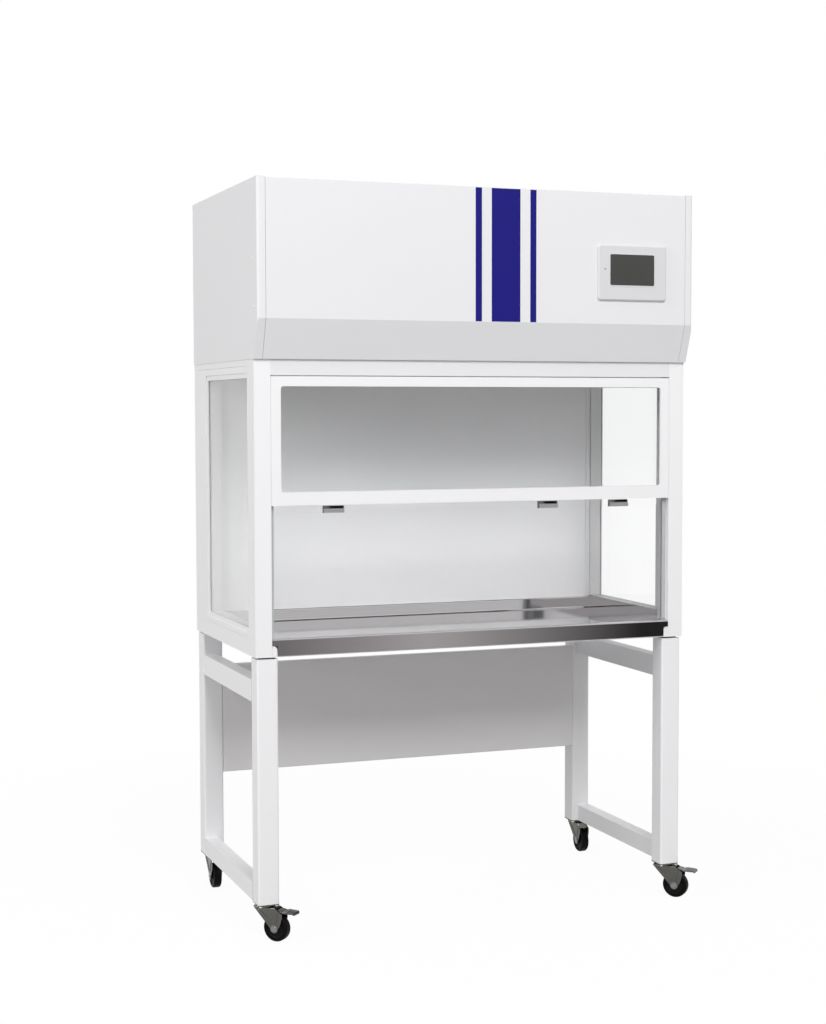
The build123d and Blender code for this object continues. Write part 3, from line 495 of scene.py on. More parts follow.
WHITE_COAT = PowderCoat("white_coat", (0.875, 0.865, 0.878), (0.85, 0.84, 0.853))
# Header coat: greyer than the white coat, painted shade for the shadow under the canopy's
# overhang.
HEADER_SHADE_COAT = PowderCoat("header_coat_painted_shade", (0.79, 0.78, 0.795), (0.765, 0.755, 0.77))
CANOPY_COAT = PowderCoat("canopy_coat", (0.782, 0.782, 0.797), (0.757, 0.757, 0.772), 0.34)
# Back wall coat: mid grey, painted shade for the dim inside of the chamber.
SHADED_INNER_COAT = PowderCoat("inner_coat_painted_shade", (0.565, 0.565, 0.575), (0.535, 0.535, 0.545), 0.45)
# Chamber-side coat: darker grey on the walls' faces inside the chamber, painted shade.
SHADED_LINING_COAT = PowderCoat("lining_coat_painted_shade", (0.475, 0.475, 0.48), (0.45, 0.45, 0.455), 0.45)
WALL_COAT = ChamberShadedCoat("wall_coat", WHITE_COAT, SHADED_LINING_COAT, edge=0.6410, front=0.040, rear=0.002)
PANEL_COAT = PowderCoat("panel_coat", (0.80, 0.785, 0.79), (0.775, 0.76, 0.765), 0.5)
TRAY_STEEL = WorkedMetal("tray_steel", (0.56, 0.55, 0.557), (0.52, 0.51, 0.517), 0.07)
ZINC_STEEL = WorkedMetal(
    "zinc_steel", (0.15, 0.147, 0.135), (0.07, 0.069, 0.064), 0.24, EVEN, depth=0.0001
)
AXLE_STEEL = WorkedMetal("axle_steel", (0.26, 0.26, 0.25), (0.20, 0.20, 0.19), 0.22, EVEN)
BRIGHT_STEEL = WorkedMetal("bright_steel", (0.80, 0.80, 0.80), (0.7, 0.7, 0.7), 0.15, EVEN)
BRASS = WorkedMetal("brass", (0.72, 0.52, 0.24), (0.62, 0.44, 0.20), 0.3, EVEN)
MILL_ALUMINIUM = WorkedMetal("mill_aluminium", (0.75, 0.75, 0.75), (0.66, 0.66, 0.67), 0.32)
GREY_PLASTIC = Moulded("grey_plastic", (0.46, 0.47, 0.48), (0.43, 0.44, 0.45), 0.42)
BEZEL_PLASTIC = Moulded("bezel_plastic", (0.67, 0.67, 0.69), (0.65, 0.65, 0.67), 0.38)
GRIP_PLASTIC = Moulded("grip_plastic", (0.31, 0.31, 0.315), (0.285, 0.285, 0.29), 0.4)
GRIP_EDGE = Moulded("grip_edge", (0.42, 0.42, 0.425), (0.38, 0.38, 0.385), 0.4)
# Pocket shade: dark grey sheet, painted shade for the shadowed finger pockets of the grips.
POCKET_SHADE = Moulded("pocket_painted_shade", (0.19, 0.19, 0.193), (0.21, 0.21, 0.213), 0.5)
SEAL_GREY = Moulded("seal_grey", (0.60, 0.60, 0.61), (0.56, 0.56, 0.57), 0.5)
SCREEN = Moulded(
    "dark_screen", (0.038, 0.039, 0.034), (0.034, 0.035, 0.031), 0.16, 1500.0, 0.00002
)
LENS_GREEN = Moulded("lens_green", (0.20, 0.30, 0.22), (0.18, 0.27, 0.20), 0.18, 1500.0, 0.00002)
STRIPE_FILM = Moulded(
    "stripe_film", (0.006, 0.004, 0.185), (0.005, 0.003, 0.170), 0.34, index=1.28
)
WHEEL_BLACK = Moulded(
    "wheel_black", (0.003, 0.003, 0.003), (0.006, 0.006, 0.006), 0.38, index=1.14
)
WHEEL_HUB = Moulded("wheel_hub", (0.005, 0.005, 0.005), (0.010, 0.010, 0.010), 0.42, index=1.16)
BLACK_RUBBER = Moulded("black_rubber", (0.018, 0.018, 0.018), (0.03, 0.03, 0.03), 0.6)
BLACK_PLASTIC = Moulded("black_plastic", (0.02, 0.02, 0.02), (0.028, 0.028, 0.028), 0.4)
FILTER_CLOTH = Moulded("filter_cloth", (0.80, 0.80, 0.78), (0.74, 0.74, 0.72), 0.9, 500.0, 0.001)
WOVEN_FIBRE = Moulded("woven_fibre", (0.82, 0.82, 0.79), (0.74, 0.74, 0.71), 0.85, 260.0, 0.001)
LAMP_OPAL = Moulded("lamp_opal", (0.88, 0.88, 0.88), (0.85, 0.85, 0.85), 0.2)
FLOAT_GLASS = ClearGlass("float_glass", (0.994, 0.997, 0.996))
QUARTZ_GLASS = ClearGlass("quartz_glass", (0.90, 0.93, 0.98), 0.02)

NODE_FINISHES: dict[Finish, tuple[str, ...]] = {
    WHITE_COAT: (
        "left_side_frame", "right_side_frame",
        "front_window_frame", "left_window_frame", "right_window_frame", "lamp_batten",
        "ceiling_frame", "base_pan", "rear_panel",
    ),
    WALL_COAT: ("left_wall", "right_wall"),
    HEADER_SHADE_COAT: ("front_header",),
    CANOPY_COAT: ("canopy_shell", "left_end_cap", "right_end_cap", "fascia_door"),
    SHADED_INNER_COAT: ("back_wall",),
    PANEL_COAT: ("modesty_panel",),
    TRAY_STEEL: ("work_tray",),
    GREY_PLASTIC: ("left_sash_guide", "right_sash_guide"),
    GRIP_PLASTIC: ("sash_grips",),
    BEZEL_PLASTIC: ("touch_bezel",),
    SCREEN: ("touch_screen",),
    STRIPE_FILM: ("fascia_stripes",),
    BLACK_RUBBER: ("stand_pads",),
    BLACK_PLASTIC: ("power_inlet", "impeller"),
    FILTER_CLOTH: ("prefilter_pad", "hepa_filter"),
    LAMP_OPAL: ("lamp_tube",),
    QUARTZ_GLASS: ("uv_tube",),
    FLOAT_GLASS: ("front_window_pane", "left_window_pane", "right_window_pane", "sash_pane"),
    MILL_ALUMINIUM: ("diffuser", "fan_deck", "prefilter_frame", "motor"),
    BRIGHT_STEEL: ("fascia_hinge", "end_cap_screws"),
}
CASTER_FINISHES: dict[str, Finish] = {
    "plate": ZINC_STEEL, "fork": ZINC_STEEL, "pedal": ZINC_STEEL,
    "axle": AXLE_STEEL, "wheel": WHEEL_BLACK,
}

# Turned profiles: radius and height in metres, each about its own axis.
BOLT_WASHER: Outline = [(0.0, 0.0), (0.0058, 0.0), (0.0058, 0.0009), (0.0, 0.0009)]
RACE_RING: Outline = [
    (0.0230, 0.0958), (0.0242, 0.0956), (0.0246, 0.0964), (0.0243, 0.0978), (0.0230, 0.0984),
]
WHEEL_COVER: Outline = [
    (0.0118, 0.0071), (0.0118, 0.0105), (0.0128, 0.0109), (0.0163, 0.0093), (0.0171, 0.0083),
    (0.0232, 0.0083), (0.0242, 0.0097), (0.0272, 0.0111), (0.0282, 0.0105), (0.0282, 0.0071),
]
AXLE_WASHER: Outline = [
    (0.0060, 0.0170), (0.0098, 0.0170), (0.0102, 0.0176), (0.0098, 0.0182), (0.0060, 0.0182),
]
TUBE_CAP: Outline = [
    (0.0080, 0.0001), (0.0083, 0.0004), (0.0083, 0.0110), (0.0081, 0.0120), (0.0080, 0.0120),
]
SCREW_HEAD: Outline = [
    (0.0007, -0.0002), (0.0042, -0.0002), (0.0042, 0.00054),
    (0.00336, 0.0012), (0.00112, 0.0012), (0.0007, 0.00036),
]


# Piece building
def add_piece(
    name: str, form: Form, finish: Finish, body: str, smooth: bool = True
) -> None:
    """Turns a working form into a piece of the scene, with outward normals.

    Args:
        name: The piece's name.
        form: Its working form, already in place, which is freed.
        finish: Its finish.
        body: The body that it moves with.
        smooth: Whether its faces are shaded smooth, apart from sharp edges.
    """
    bmesh.ops.recalc_face_normals(form, faces=form.faces)
    mesh = bpy.data.meshes.new(name)
    form.to_mesh(mesh)
    form.free()
    piece = bpy.data.objects.new(name, mesh)
    bpy.context.scene.collection.objects.link(piece)
    for face in mesh.polygons:
        face.use_smooth = smooth
    if smooth:
        mesh.set_sharp_from_angle(angle=math.radians(CREASE_DEGREES))
    finish.dress(piece)
    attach(piece, body)
    LOG.info("built %s on %s: %d faces", name, body, len(mesh.polygons))


def band(form: Form, here: Ring, there: Ring) -> None:
    """Joins two rings of points with faces."""
    for corners in zip(here, here[1:] + here[:1], there[1:] + there[:1], there):
        form.faces.new(corners)


def turned(form: Form, outline: Outline, place: Matrix, steps: int) -> None:
    """Adds a turned ring or disc about the place's z axis.

    Args:
        form: The working form.
        outline: Closed outline as radius and height pairs in metres.
        place: Where the ring's own axes lie.
        steps: Facets round the ring.
    """
    rings: list[Ring] = []
    for step in range(steps):
        angle = math.tau * step / steps
        spots = [Vector((r * math.cos(angle), r * math.sin(angle), h)) for r, h in outline]
        rings.append([form.verts.new(place @ spot) for spot in spots])
    for step in range(steps):
        band(form, rings[step], rings[(step + 1) % steps])
    bmesh.ops.remove_doubles(form, verts=form.verts, dist=WELD_GAP)


def prism(form: Form, outline: Outline, height: float, place: Matrix, bevel: float) -> None:
    """Adds an upright prism with softened edges.

    Args:
        form: The working form.
        outline: Points of the foot in metres.
        height: Rise along the place's z axis.
        place: Where the prism's own axes lie.
        bevel: Width of the softened edges.
    """
    part = bmesh.new()
    foot = [part.verts.new((x, y, 0.0)) for x, y in outline]
    head = [part.verts.new((x, y, height)) for x, y in outline]
    part.faces.new(list(reversed(foot)))
    part.faces.new(head)
    band(part, foot, head)
    bmesh.ops.bevel(
        part, geom=part.edges[:], offset=bevel, segments=BEVEL_STEPS, profile=BEVEL_PROFILE,
        affect="EDGES",
    )
    part.transform(place)
    spare = bpy.data.meshes.new("spare")
    part.to_mesh(spare)
    part.free()
    form.from_mesh(spare)
    bpy.data.meshes.remove(spare)


def rectangle(
    width: float, depth: float, centre: tuple[float, float] = (0.0, 0.0), corner: float = 0.0
) -> Outline:
    """Gives a rectangle's outline, with rounded corners if asked.

    Args:
        width: Size along x.
        depth: Size along y.
        centre: Its middle.
        corner: Corner radius.

    Returns:
        The points, anticlockwise.
    """
    half_w, half_d = width / 2, depth / 2
    if corner <= 0.0:
        spots = [(-half_w, -half_d), (half_w, -half_d), (half_w, half_d), (-half_w, half_d)]
        return [(centre[0] + x, centre[1] + y) for x, y in spots]
    points = []
    for quarter, (sx, sy) in enumerate(((1, 1), (-1, 1), (-1, -1), (1, -1))):
        for share in shares(CORNER_STEPS):
            angle = math.pi / 2 * (quarter + share)
            x = centre[0] + sx * (half_w - corner) + corner * math.cos(angle)
            y = centre[1] + sy * (half_d - corner) + corner * math.sin(angle)
            points.append((x, y))
    return points


def bead(
    form: Form, path: list[Point], radius: float, closed: bool = False, ripple: float = 0.0
) -> None:
    """Adds a round bead along a path.

    Args:
        form: The working form.
        path: The points that it follows, in metres.
        radius: Its radius.
        closed: Whether the path joins its start.
        ripple: Share by which every other ring swells, as in a weld.
    """
    points = [Vector(point) for point in path]
    count = len(points)
    turns = [math.tau * k / BEAD_SIDES for k in range(BEAD_SIDES)]
    rings: list[Ring] = []
    across: Vector | None = None
    for i, point in enumerate(points):
        before = points[i - 1] if closed or i > 0 else point
        after = points[(i + 1) % count] if closed or i < count - 1 else point
        along = (after - before).normalized()
        if across is None:
            across = along.orthogonal().normalized()
        across = (across - along * across.dot(along)).normalized()
        other = along.cross(across)
        swell = radius * (1.0 + (ripple if i % 2 else -ripple))
        spots = [
            point + across * (swell * math.cos(turn)) + other * (swell * math.sin(turn))
            for turn in turns
        ]
        rings.append([form.verts.new(spot) for spot in spots])
    for i in range(count if closed else count - 1):
        band(form, rings[i], rings[(i + 1) % count])
    if not closed:
        form.faces.new(list(reversed(rings[0])))
        form.faces.new(rings[-1])


def shares(count: int) -> list[float]:
    """Gives the even steps from 0 to 1, both ends included."""
    return [step / count for step in range(count + 1)]


def middle_of(node: str) -> Vector:
    """Gives the middle of a node's box."""
    low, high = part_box(node)
    return (low + high) / 2


# Sub-assemblies
@dataclass(frozen=True)
class BeadCourse:
    """Course of a bead down a fork's cheek, from start on the trail to meet past the axle.

    Its head lies drop under the fork's top; bow and sag are the powers of its two runs.
    """

    start: float
    meet: float
    drop: float
    bow: float
    sag: float


CHEEK_BEADS = (
    BeadCourse(start=-0.020, meet=-0.006, drop=0.009, bow=0.8, sag=1.25),
    BeadCourse(start=0.048, meet=0.006, drop=0.016, bow=0.55, sag=1.0),
)


@dataclass
class Caster:
    """Fittings of one caster, built about its swivel axis and trailing along x."""

    corner: Corner
    plate_foot: float = 0.100
    bolt_spot: float = 0.0225
    bolt_flat: float = 0.0045
    bolt_head: float = 0.0036
    bolt_bevel: float = 0.0005
    bolt_turn: float = 0.3
    washer_thick: float = 0.0009
    fork_top: float = 0.095
    bead_plane: float = 0.0172
    bead_foot: float = 0.013
    bead_steps: int = 12
    bead_radius: float = 0.0011
    ribs: int = 4
    rib_start: float = 0.070
    rib_pitch: float = 0.0065
    rib_half: float = 0.0150
    rib_taper: float = 0.0012
    rib_sink: float = 0.0009
    rib_fall: float = 0.0001
    rib_crown: float = 0.0004
    rib_steps: int = 8
    rib_radius: float = 0.0009

    def __post_init__(self) -> None:
        """Finds the swivel axis and the wheel's centre from the frame."""
        self.name = self.corner.value
        plate = middle_of(f"{self.name}_plate")
        self.wheel = middle_of(f"{self.name}_wheel")
        trail = Vector((self.wheel.x - plate.x, self.wheel.y - plate.y, 0.0))
        self.trail = trail.length
        ahead = trail.normalized()
        aside = Vector((0.0, 0.0, 1.0)).cross(ahead)
        self.place = Matrix.Identity(4)
        self.place.col[0] = (*ahead, 0.0)
        self.place.col[1] = (*aside, 0.0)
        self.place.col[3] = (plate.x, plate.y, 0.0, 1.0)
        self.square = Matrix.Translation((plate.x, plate.y, 0.0))

    def wheel_faces(self) -> list[Matrix]:
        """Gives places on the wheel's middle whose z axes point out of its two faces."""
        hub = self.place @ Matrix.Translation((self.trail, 0.0, self.wheel.z))
        return [hub @ Matrix.Rotation(-side * math.pi / 2, 4, "X") for side in (-1, 1)]

    def bolts(self) -> None:
        """Makes the four hexagon bolts and washers under the plate."""
        form = bmesh.new()
        for side_x in (-1, 1):
            angles = [math.tau * k / 6 + self.bolt_turn * side_x for k in range(6)]
            hexagon = [
                (self.bolt_flat * math.cos(angle), self.bolt_flat * math.sin(angle))
                for angle in angles
            ]
            for side_y in (-1, 1):
                spot = Matrix.Translation(
                    (side_x * self.bolt_spot, side_y * self.bolt_spot, self.plate_foot)
                )
                down = self.square @ spot @ Matrix.Rotation(math.pi, 4, "X")
                turned(form, BOLT_WASHER, down, steps=24)
                head = down @ Matrix.Translation((0.0, 0.0, self.washer_thick))
                prism(form, hexagon, self.bolt_head, head, self.bolt_bevel)
        add_piece(f"{self.name}_bolts", form, BRIGHT_STEEL, "cabinet")

    def race(self) -> None:
        """Makes the pressed dust ring round the ball race."""
        form = bmesh.new()
        turned(form, RACE_RING, self.square, steps=64)
        add_piece(f"{self.name}_race_ring", form, ZINC_STEEL, "cabinet")

    def wheel_covers(self) -> None:
        """Makes the dished covers with rings on both faces of the wheel."""
        form = bmesh.new()
        for face in self.wheel_faces():
            turned(form, WHEEL_COVER, face, steps=72)
        add_piece(f"{self.name}_wheel_covers", form, WHEEL_HUB, f"{self.name}_roll")

    def axle_washers(self) -> None:
        """Makes the raised washer under each rounded end of the axle."""
        form = bmesh.new()
        for face in self.wheel_faces():
            turned(form, AXLE_WASHER, face, steps=36)
        body = f"{self.name}_swivel"
        add_piece(f"{self.name}_axle_washers", form, AXLE_STEEL, body)

    def cheek_beads(self) -> None:
        """Makes the pressed stiffening beads on both cheeks of the fork."""
        form = bmesh.new()
        foot = self.wheel.z + self.bead_foot
        for side in (-1, 1):
            for course in CHEEK_BEADS:
                head = self.fork_top - course.drop
                run = self.trail + course.meet - course.start
                path = []
                for share in shares(self.bead_steps):
                    x = course.start + run * share**course.bow
                    z = head - (head - foot) * share**course.sag
                    path.append(tuple(self.place @ Vector((x, side * self.bead_plane, z))))
                bead(form, path, self.bead_radius)
        body = f"{self.name}_swivel"
        add_piece(f"{self.name}_cheek_beads", form, ZINC_STEEL, body)

    def pedal_ribs(self) -> None:
        """Makes the pressed grip ribs across the pedal's wing."""
        _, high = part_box(f"{self.corner.value}_pedal")
        form = bmesh.new()
        for rib in range(self.ribs):
            x = self.rib_start + rib * self.rib_pitch
            half = self.rib_half - self.rib_taper * rib
            foot = high.z - self.rib_sink - self.rib_fall * rib
            path = []
            for share in shares(self.rib_steps):
                lift = self.rib_crown * math.sin(math.pi * share)
                spot = Vector((x, half * (2 * share - 1), foot + lift))
                path.append(tuple(self.place @ spot))
            bead(form, path, self.rib_radius)
        body = f"{self.name}_brake"
        add_piece(f"{self.name}_pedal_ribs", form, ZINC_STEEL, body)

    def build(self) -> None:
        """Builds every fitting of this caster."""
        self.bolts()
        self.race()
        self.wheel_covers()
        self.cheek_beads()
        self.axle_washers()
        if self.corner.braked:
            self.pedal_ribs()


@dataclass
class Glazing:
    """Seals round the fixed panes."""

    front_radius: float = 0.0014
    front_half: float = 0.5768
    front_low: float = 1.2300
    front_top: float = 1.5173
    front_corner: float = 0.008
    front_set: float = 0.0036
    side_radius: float = 0.0012
    side_lap: float = 0.008
    side_corner: float = 0.002
    side_proud: float = 0.0004

    def front_seal(self) -> None:
        """Makes the bead that seals the front pane in its frame."""
        low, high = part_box("front_window_frame")
        middle = ((low.x + high.x) / 2, (self.front_top + self.front_low) / 2)
        height = self.front_top - self.front_low
        outline = rectangle(2 * self.front_half, height, middle, self.front_corner)
        path = [(x, low.y + self.front_set, z) for x, z in outline]
        form = bmesh.new()
        bead(form, path, self.front_radius, closed=True)
        add_piece("front_window_seal", form, SEAL_GREY, "cabinet")

    def side_seal(self, side: Side) -> None:
        """Makes the bead between one side pane and its frame.

        Args:
            side: The end of the hood.
        """
        name = side.name.lower()
        low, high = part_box(f"{name}_window_pane")
        face = low.x if side is Side.LEFT else high.x
        outline = rectangle(
            high.y - low.y - 2 * self.side_lap,
            high.z - low.z - 2 * self.side_lap,
            ((low.y + high.y) / 2, (low.z + high.z) / 2),
            self.side_corner,
        )
        path = [(face + side.value * self.side_proud, y, z) for y, z in outline]
        form = bmesh.new()
        bead(form, path, self.side_radius, closed=True)
        add_piece(f"{name}_window_seal", form, SEAL_GREY, "cabinet")

    def build(self) -> None:
        """Builds all seals."""
        self.front_seal()
        for side in Side:
            self.side_seal(side)


@dataclass
class SashGrips:
    """Edge lips of the three sash grips, and dark sheets of painted shade in their pockets."""

    centres: tuple[float, ...] = (-0.423, 0.224, 0.450)
    width: float = 0.059
    lip_height: float = 0.012
    pocket_lift: float = 0.0006
    pocket_rise: float = 0.0068
    pocket_share: float = 0.70
    pocket_thick: float = 0.0012
    pocket_set: float = 0.0045
    pocket_margin: float = 0.0012
    pocket_bevel: float = 0.0003
    edge_set: float = 0.0009
    edge_share: float = 0.985
    edge_steps: int = 10
    edge_radius: float = 0.0008

    def build(self) -> None:
        """Builds the dark sheets of painted shade in the pockets and the pale lip edges."""
        low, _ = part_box("sash_grips")
        middle = middle_of("front_window_frame").x
        wide = self.width * self.pocket_share
        foot = rectangle(wide, self.pocket_thick, (0.0, -self.pocket_thick / 2))
        pockets = bmesh.new()
        edges = bmesh.new()
        for centre in self.centres:
            x = middle + centre
            right = x + self.width / 2 - self.pocket_margin
            place = Matrix.Translation(
                (
                    right - wide / 2,
                    low.y + self.pocket_set + self.pocket_thick,
                    low.z + self.lip_height + self.pocket_lift,
                )
            )
            # A thin dark sheet in each pocket, painted shade.
            prism(pockets, foot, self.pocket_rise, place, self.pocket_bevel)
            y, z = low.y + self.edge_set, low.z + self.edge_set
            path = [
                (x + self.width * (share - 0.5) * self.edge_share, y, z)
                for share in shares(self.edge_steps)
            ]
            bead(edges, path, self.edge_radius)
        add_piece("grip_pocket_shade", pockets, POCKET_SHADE, "sash")
        add_piece("grip_lip_edges", edges, GRIP_EDGE, "sash")


@dataclass
class TouchPanel:
    """Cover glass and indicator lamp of the touch panel."""

    glass_thick: float = 0.0006
    glass_border: float = 0.0003
    glass_corner: float = 0.0038
    glass_bevel: float = 0.0002
    lamp_set: float = 0.021
    lamp_sink: float = 0.0018
    lamp_rise: float = 0.010
    lamp_radius: float = 0.0023
    lamp_wall: float = 0.0006
    lamp_dome: float = 0.0012
    dome_steps: int = 6

    def cover_glass(self) -> None:
        """Makes the thin cover over the screen."""
        low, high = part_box("touch_screen")
        middle = (low + high) / 2
        spot = Matrix.Translation((middle.x, low.y, middle.z))
        place = spot @ Matrix.Rotation(math.pi / 2, 4, "X")
        outline = rectangle(
            high.x - low.x - 2 * self.glass_border,
            high.z - low.z - 2 * self.glass_border,
            corner=self.glass_corner,
        )
        form = bmesh.new()
        prism(form, outline, self.glass_thick, place, self.glass_bevel)
        add_piece("screen_cover", form, SCREEN, "fascia")

    def indicator(self) -> None:
        """Makes the small domed lamp beside the screen."""
        low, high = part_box("touch_bezel")
        z = (low.z + high.z) / 2 + self.lamp_rise
        spot = Matrix.Translation((low.x + self.lamp_set, low.y + self.lamp_sink, z))
        place = spot @ Matrix.Rotation(math.pi / 2, 4, "X")
        outline = [(0.0, 0.0), (self.lamp_radius, 0.0)]
        for share in shares(self.dome_steps)[1:]:
            angle = math.pi / 2 * share
            height = self.lamp_wall + (self.lamp_dome - self.lamp_wall) * math.sin(angle)
            outline.append((self.lamp_radius * math.cos(angle), height))
        form = bmesh.new()
        turned(form, outline, place, steps=24)
        add_piece("indicator_lamp", form, LENS_GREEN, "fascia")

    def build(self) -> None:
        """Builds both pieces."""
        self.cover_glass()
        self.indicator()


@dataclass
class StandWelds:
    """Weld beads where the stand's rails meet its legs."""

    radius: float = 0.0016
    pitch: float = 0.0035
    ripple: float = 0.12
    rail_half: float = 0.020
    leg_depth: float = 0.060
    bed: float = 0.0002
    rails: tuple[tuple[float, float], ...] = ((0.656, 0.716), (0.103, 0.153))

    def seam(self, form: Form, start: Point, end: Point) -> None:
        """Lays a rippled bead along a straight seam.

        Args:
            form: The working form.
            start: First point.
            end: Last point.
        """
        first, last = Vector(start), Vector(end)
        steps = max(2, round((last - first).length / self.pitch))
        path = [tuple(first.lerp(last, share)) for share in shares(steps)]
        bead(form, path, self.radius, ripple=self.ripple)

    def build(self) -> None:
        """Builds the beads of both side frames."""
        for side in Side:
            name = side.name.lower()
            low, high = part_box(f"{name}_side_frame")
            outer = low.x if side is Side.LEFT else high.x
            rail_x = outer - side.value * self.rail_half
            left, right = rail_x - self.rail_half, rail_x + self.rail_half
            reach = self.leg_depth + self.bed
            form = bmesh.new()
            for foot, head in self.rails:
                for y in (low.y + reach, high.y - reach):
                    for x in (left, right):
                        self.seam(form, (x, y, foot), (x, y, head))
                    self.seam(form, (left, y, head), (right, y, head))
            add_piece(f"{name}_frame_welds", form, WHITE_COAT, "cabinet")


@dataclass
class TraySeal:
    """Sealant along the top of the tray's rear upstand."""

    radius: float = 0.0013
    drop: float = 0.0038
    proud: float = 0.0026
    margin: float = 0.016
    steps: int = 40

    def build(self) -> None:
        """Builds the bead along the back wall."""
        low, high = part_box("work_tray")
        wall_low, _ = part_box("back_wall")
        y, z = wall_low.y + self.proud, high.z - self.drop
        half = (high.x - low.x) / 2 - self.margin
        middle = (low.x + high.x) / 2
        path = [(middle + half * (2 * share - 1), y, z) for share in shares(self.steps)]
        form = bmesh.new()
        bead(form, path, self.radius)
        add_piece("tray_sealant", form, SEAL_GREY, "cabinet")


@dataclass
class LampFittings:
    """Metal caps on both ends of the two tubes."""

    tubes: tuple[str, ...] = ("lamp_tube", "uv_tube")

    def build(self) -> None:
        """Builds the caps of both tubes."""
        form = bmesh.new()
        for tube in self.tubes:
            low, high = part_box(tube)
            middle = (low + high) / 2
            for end, way in ((low.x, 1), (high.x, -1)):
                spot = Matrix.Translation((end, middle.y, middle.z))
                turned(form, TUBE_CAP, spot @ Matrix.Rotation(way * math.pi / 2, 4, "Y"), steps=32)
        add_piece("tube_caps", form, MILL_ALUMINIUM, "cabinet")


@dataclass
class FilterPleats:
    """Folded filter paper in both shallow faces of the filter."""

    rim: float = 0.015
    trough: float = 0.0037
    crest: float = 0.0006
    pitch: float = 0.0052

    def build(self) -> None:
        """Builds the two folded sheets."""
        low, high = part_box("hepa_filter")
        x0, x1 = low.x + self.rim, high.x - self.rim
        y0, y1 = low.y + self.rim, high.y - self.rim
        folds = round((x1 - x0) / self.pitch)
        form = bmesh.new()
        for deep, shallow in (
            (low.z + self.trough, low.z + self.crest),
            (high.z - self.trough, high.z - self.crest),
        ):
            rows = []
            for fold, share in enumerate(shares(2 * folds)):
                x = x0 + (x1 - x0) * share
                z = shallow if fold % 2 else deep
                rows.append((form.verts.new((x, y0, z)), form.verts.new((x, y1, z))))
            for first, second in zip(rows, rows[1:]):
                form.faces.new((first[0], second[0], second[1], first[1]))
        add_piece("filter_pleats", form, WOVEN_FIBRE, "cabinet", False)


@dataclass
class RearScrews:
    """Flat screws that hold the rear panel to the walls."""

    edge: float = 0.012
    end: float = 0.045
    rows: int = 6

    def build(self) -> None:
        """Builds the screws down both edges of the rear panel."""
        low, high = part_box("rear_panel")
        form = bmesh.new()
        for share in shares(self.rows - 1):
            z = low.z + self.end + (high.z - low.z - 2 * self.end) * share
            for x in (low.x + self.edge, high.x - self.edge):
                spot = Matrix.Translation((x, high.y, z))
                turned(form, SCREW_HEAD, spot @ Matrix.Rotation(-math.pi / 2, 4, "X"), steps=20)
        add_piece("rear_screws", form, BRIGHT_STEEL, "cabinet")


@dataclass
class InletPins:
    """Brass sleeves on the three pins of the mains inlet."""

    spread: float = 0.007
    drop: float = 0.004
    thick: float = 0.0023
    width: float = 0.0043
    length: float = 0.0105
    bevel: float = 0.0005
    floor_set: float = 0.0168

    def build(self) -> None:
        """Builds the three sleeves."""
        low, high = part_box("power_inlet")
        middle = (low + high) / 2
        foot = rectangle(self.thick, self.width)
        form = bmesh.new()
        for dx, dz in ((-self.spread, 0.0), (self.spread, 0.0), (0.0, -self.drop)):
            spot = Matrix.Translation((middle.x + dx, high.y - self.floor_set, middle.z + dz))
            place = spot @ Matrix.Rotation(-math.pi / 2, 4, "X")
            prism(form, foot, self.length, place, self.bevel)
        add_piece("inlet_pins", form, BRASS, "cabinet")


# Studio
@dataclass(frozen=True)
class Lamp:
    """Soft square lamp of a given size in metres and power in watts."""

    name: str
    spot: Point
    size: float
    power: float
    aim: Point = (0.0, 0.0, 1.2)

    def hang(self) -> None:
        """Hangs the lamp at its spot, facing the point that it aims at."""
        data = bpy.data.lights.new(self.name, "AREA")
        data.size = self.size
        data.energy = self.power
        lamp = bpy.data.objects.new(self.name, data)
        bpy.context.scene.collection.objects.link(lamp)
        spot = Vector(self.spot)
        lamp.location = spot
        lamp.rotation_euler = (Vector(self.aim) - spot).to_track_quat("-Z", "Y").to_euler()


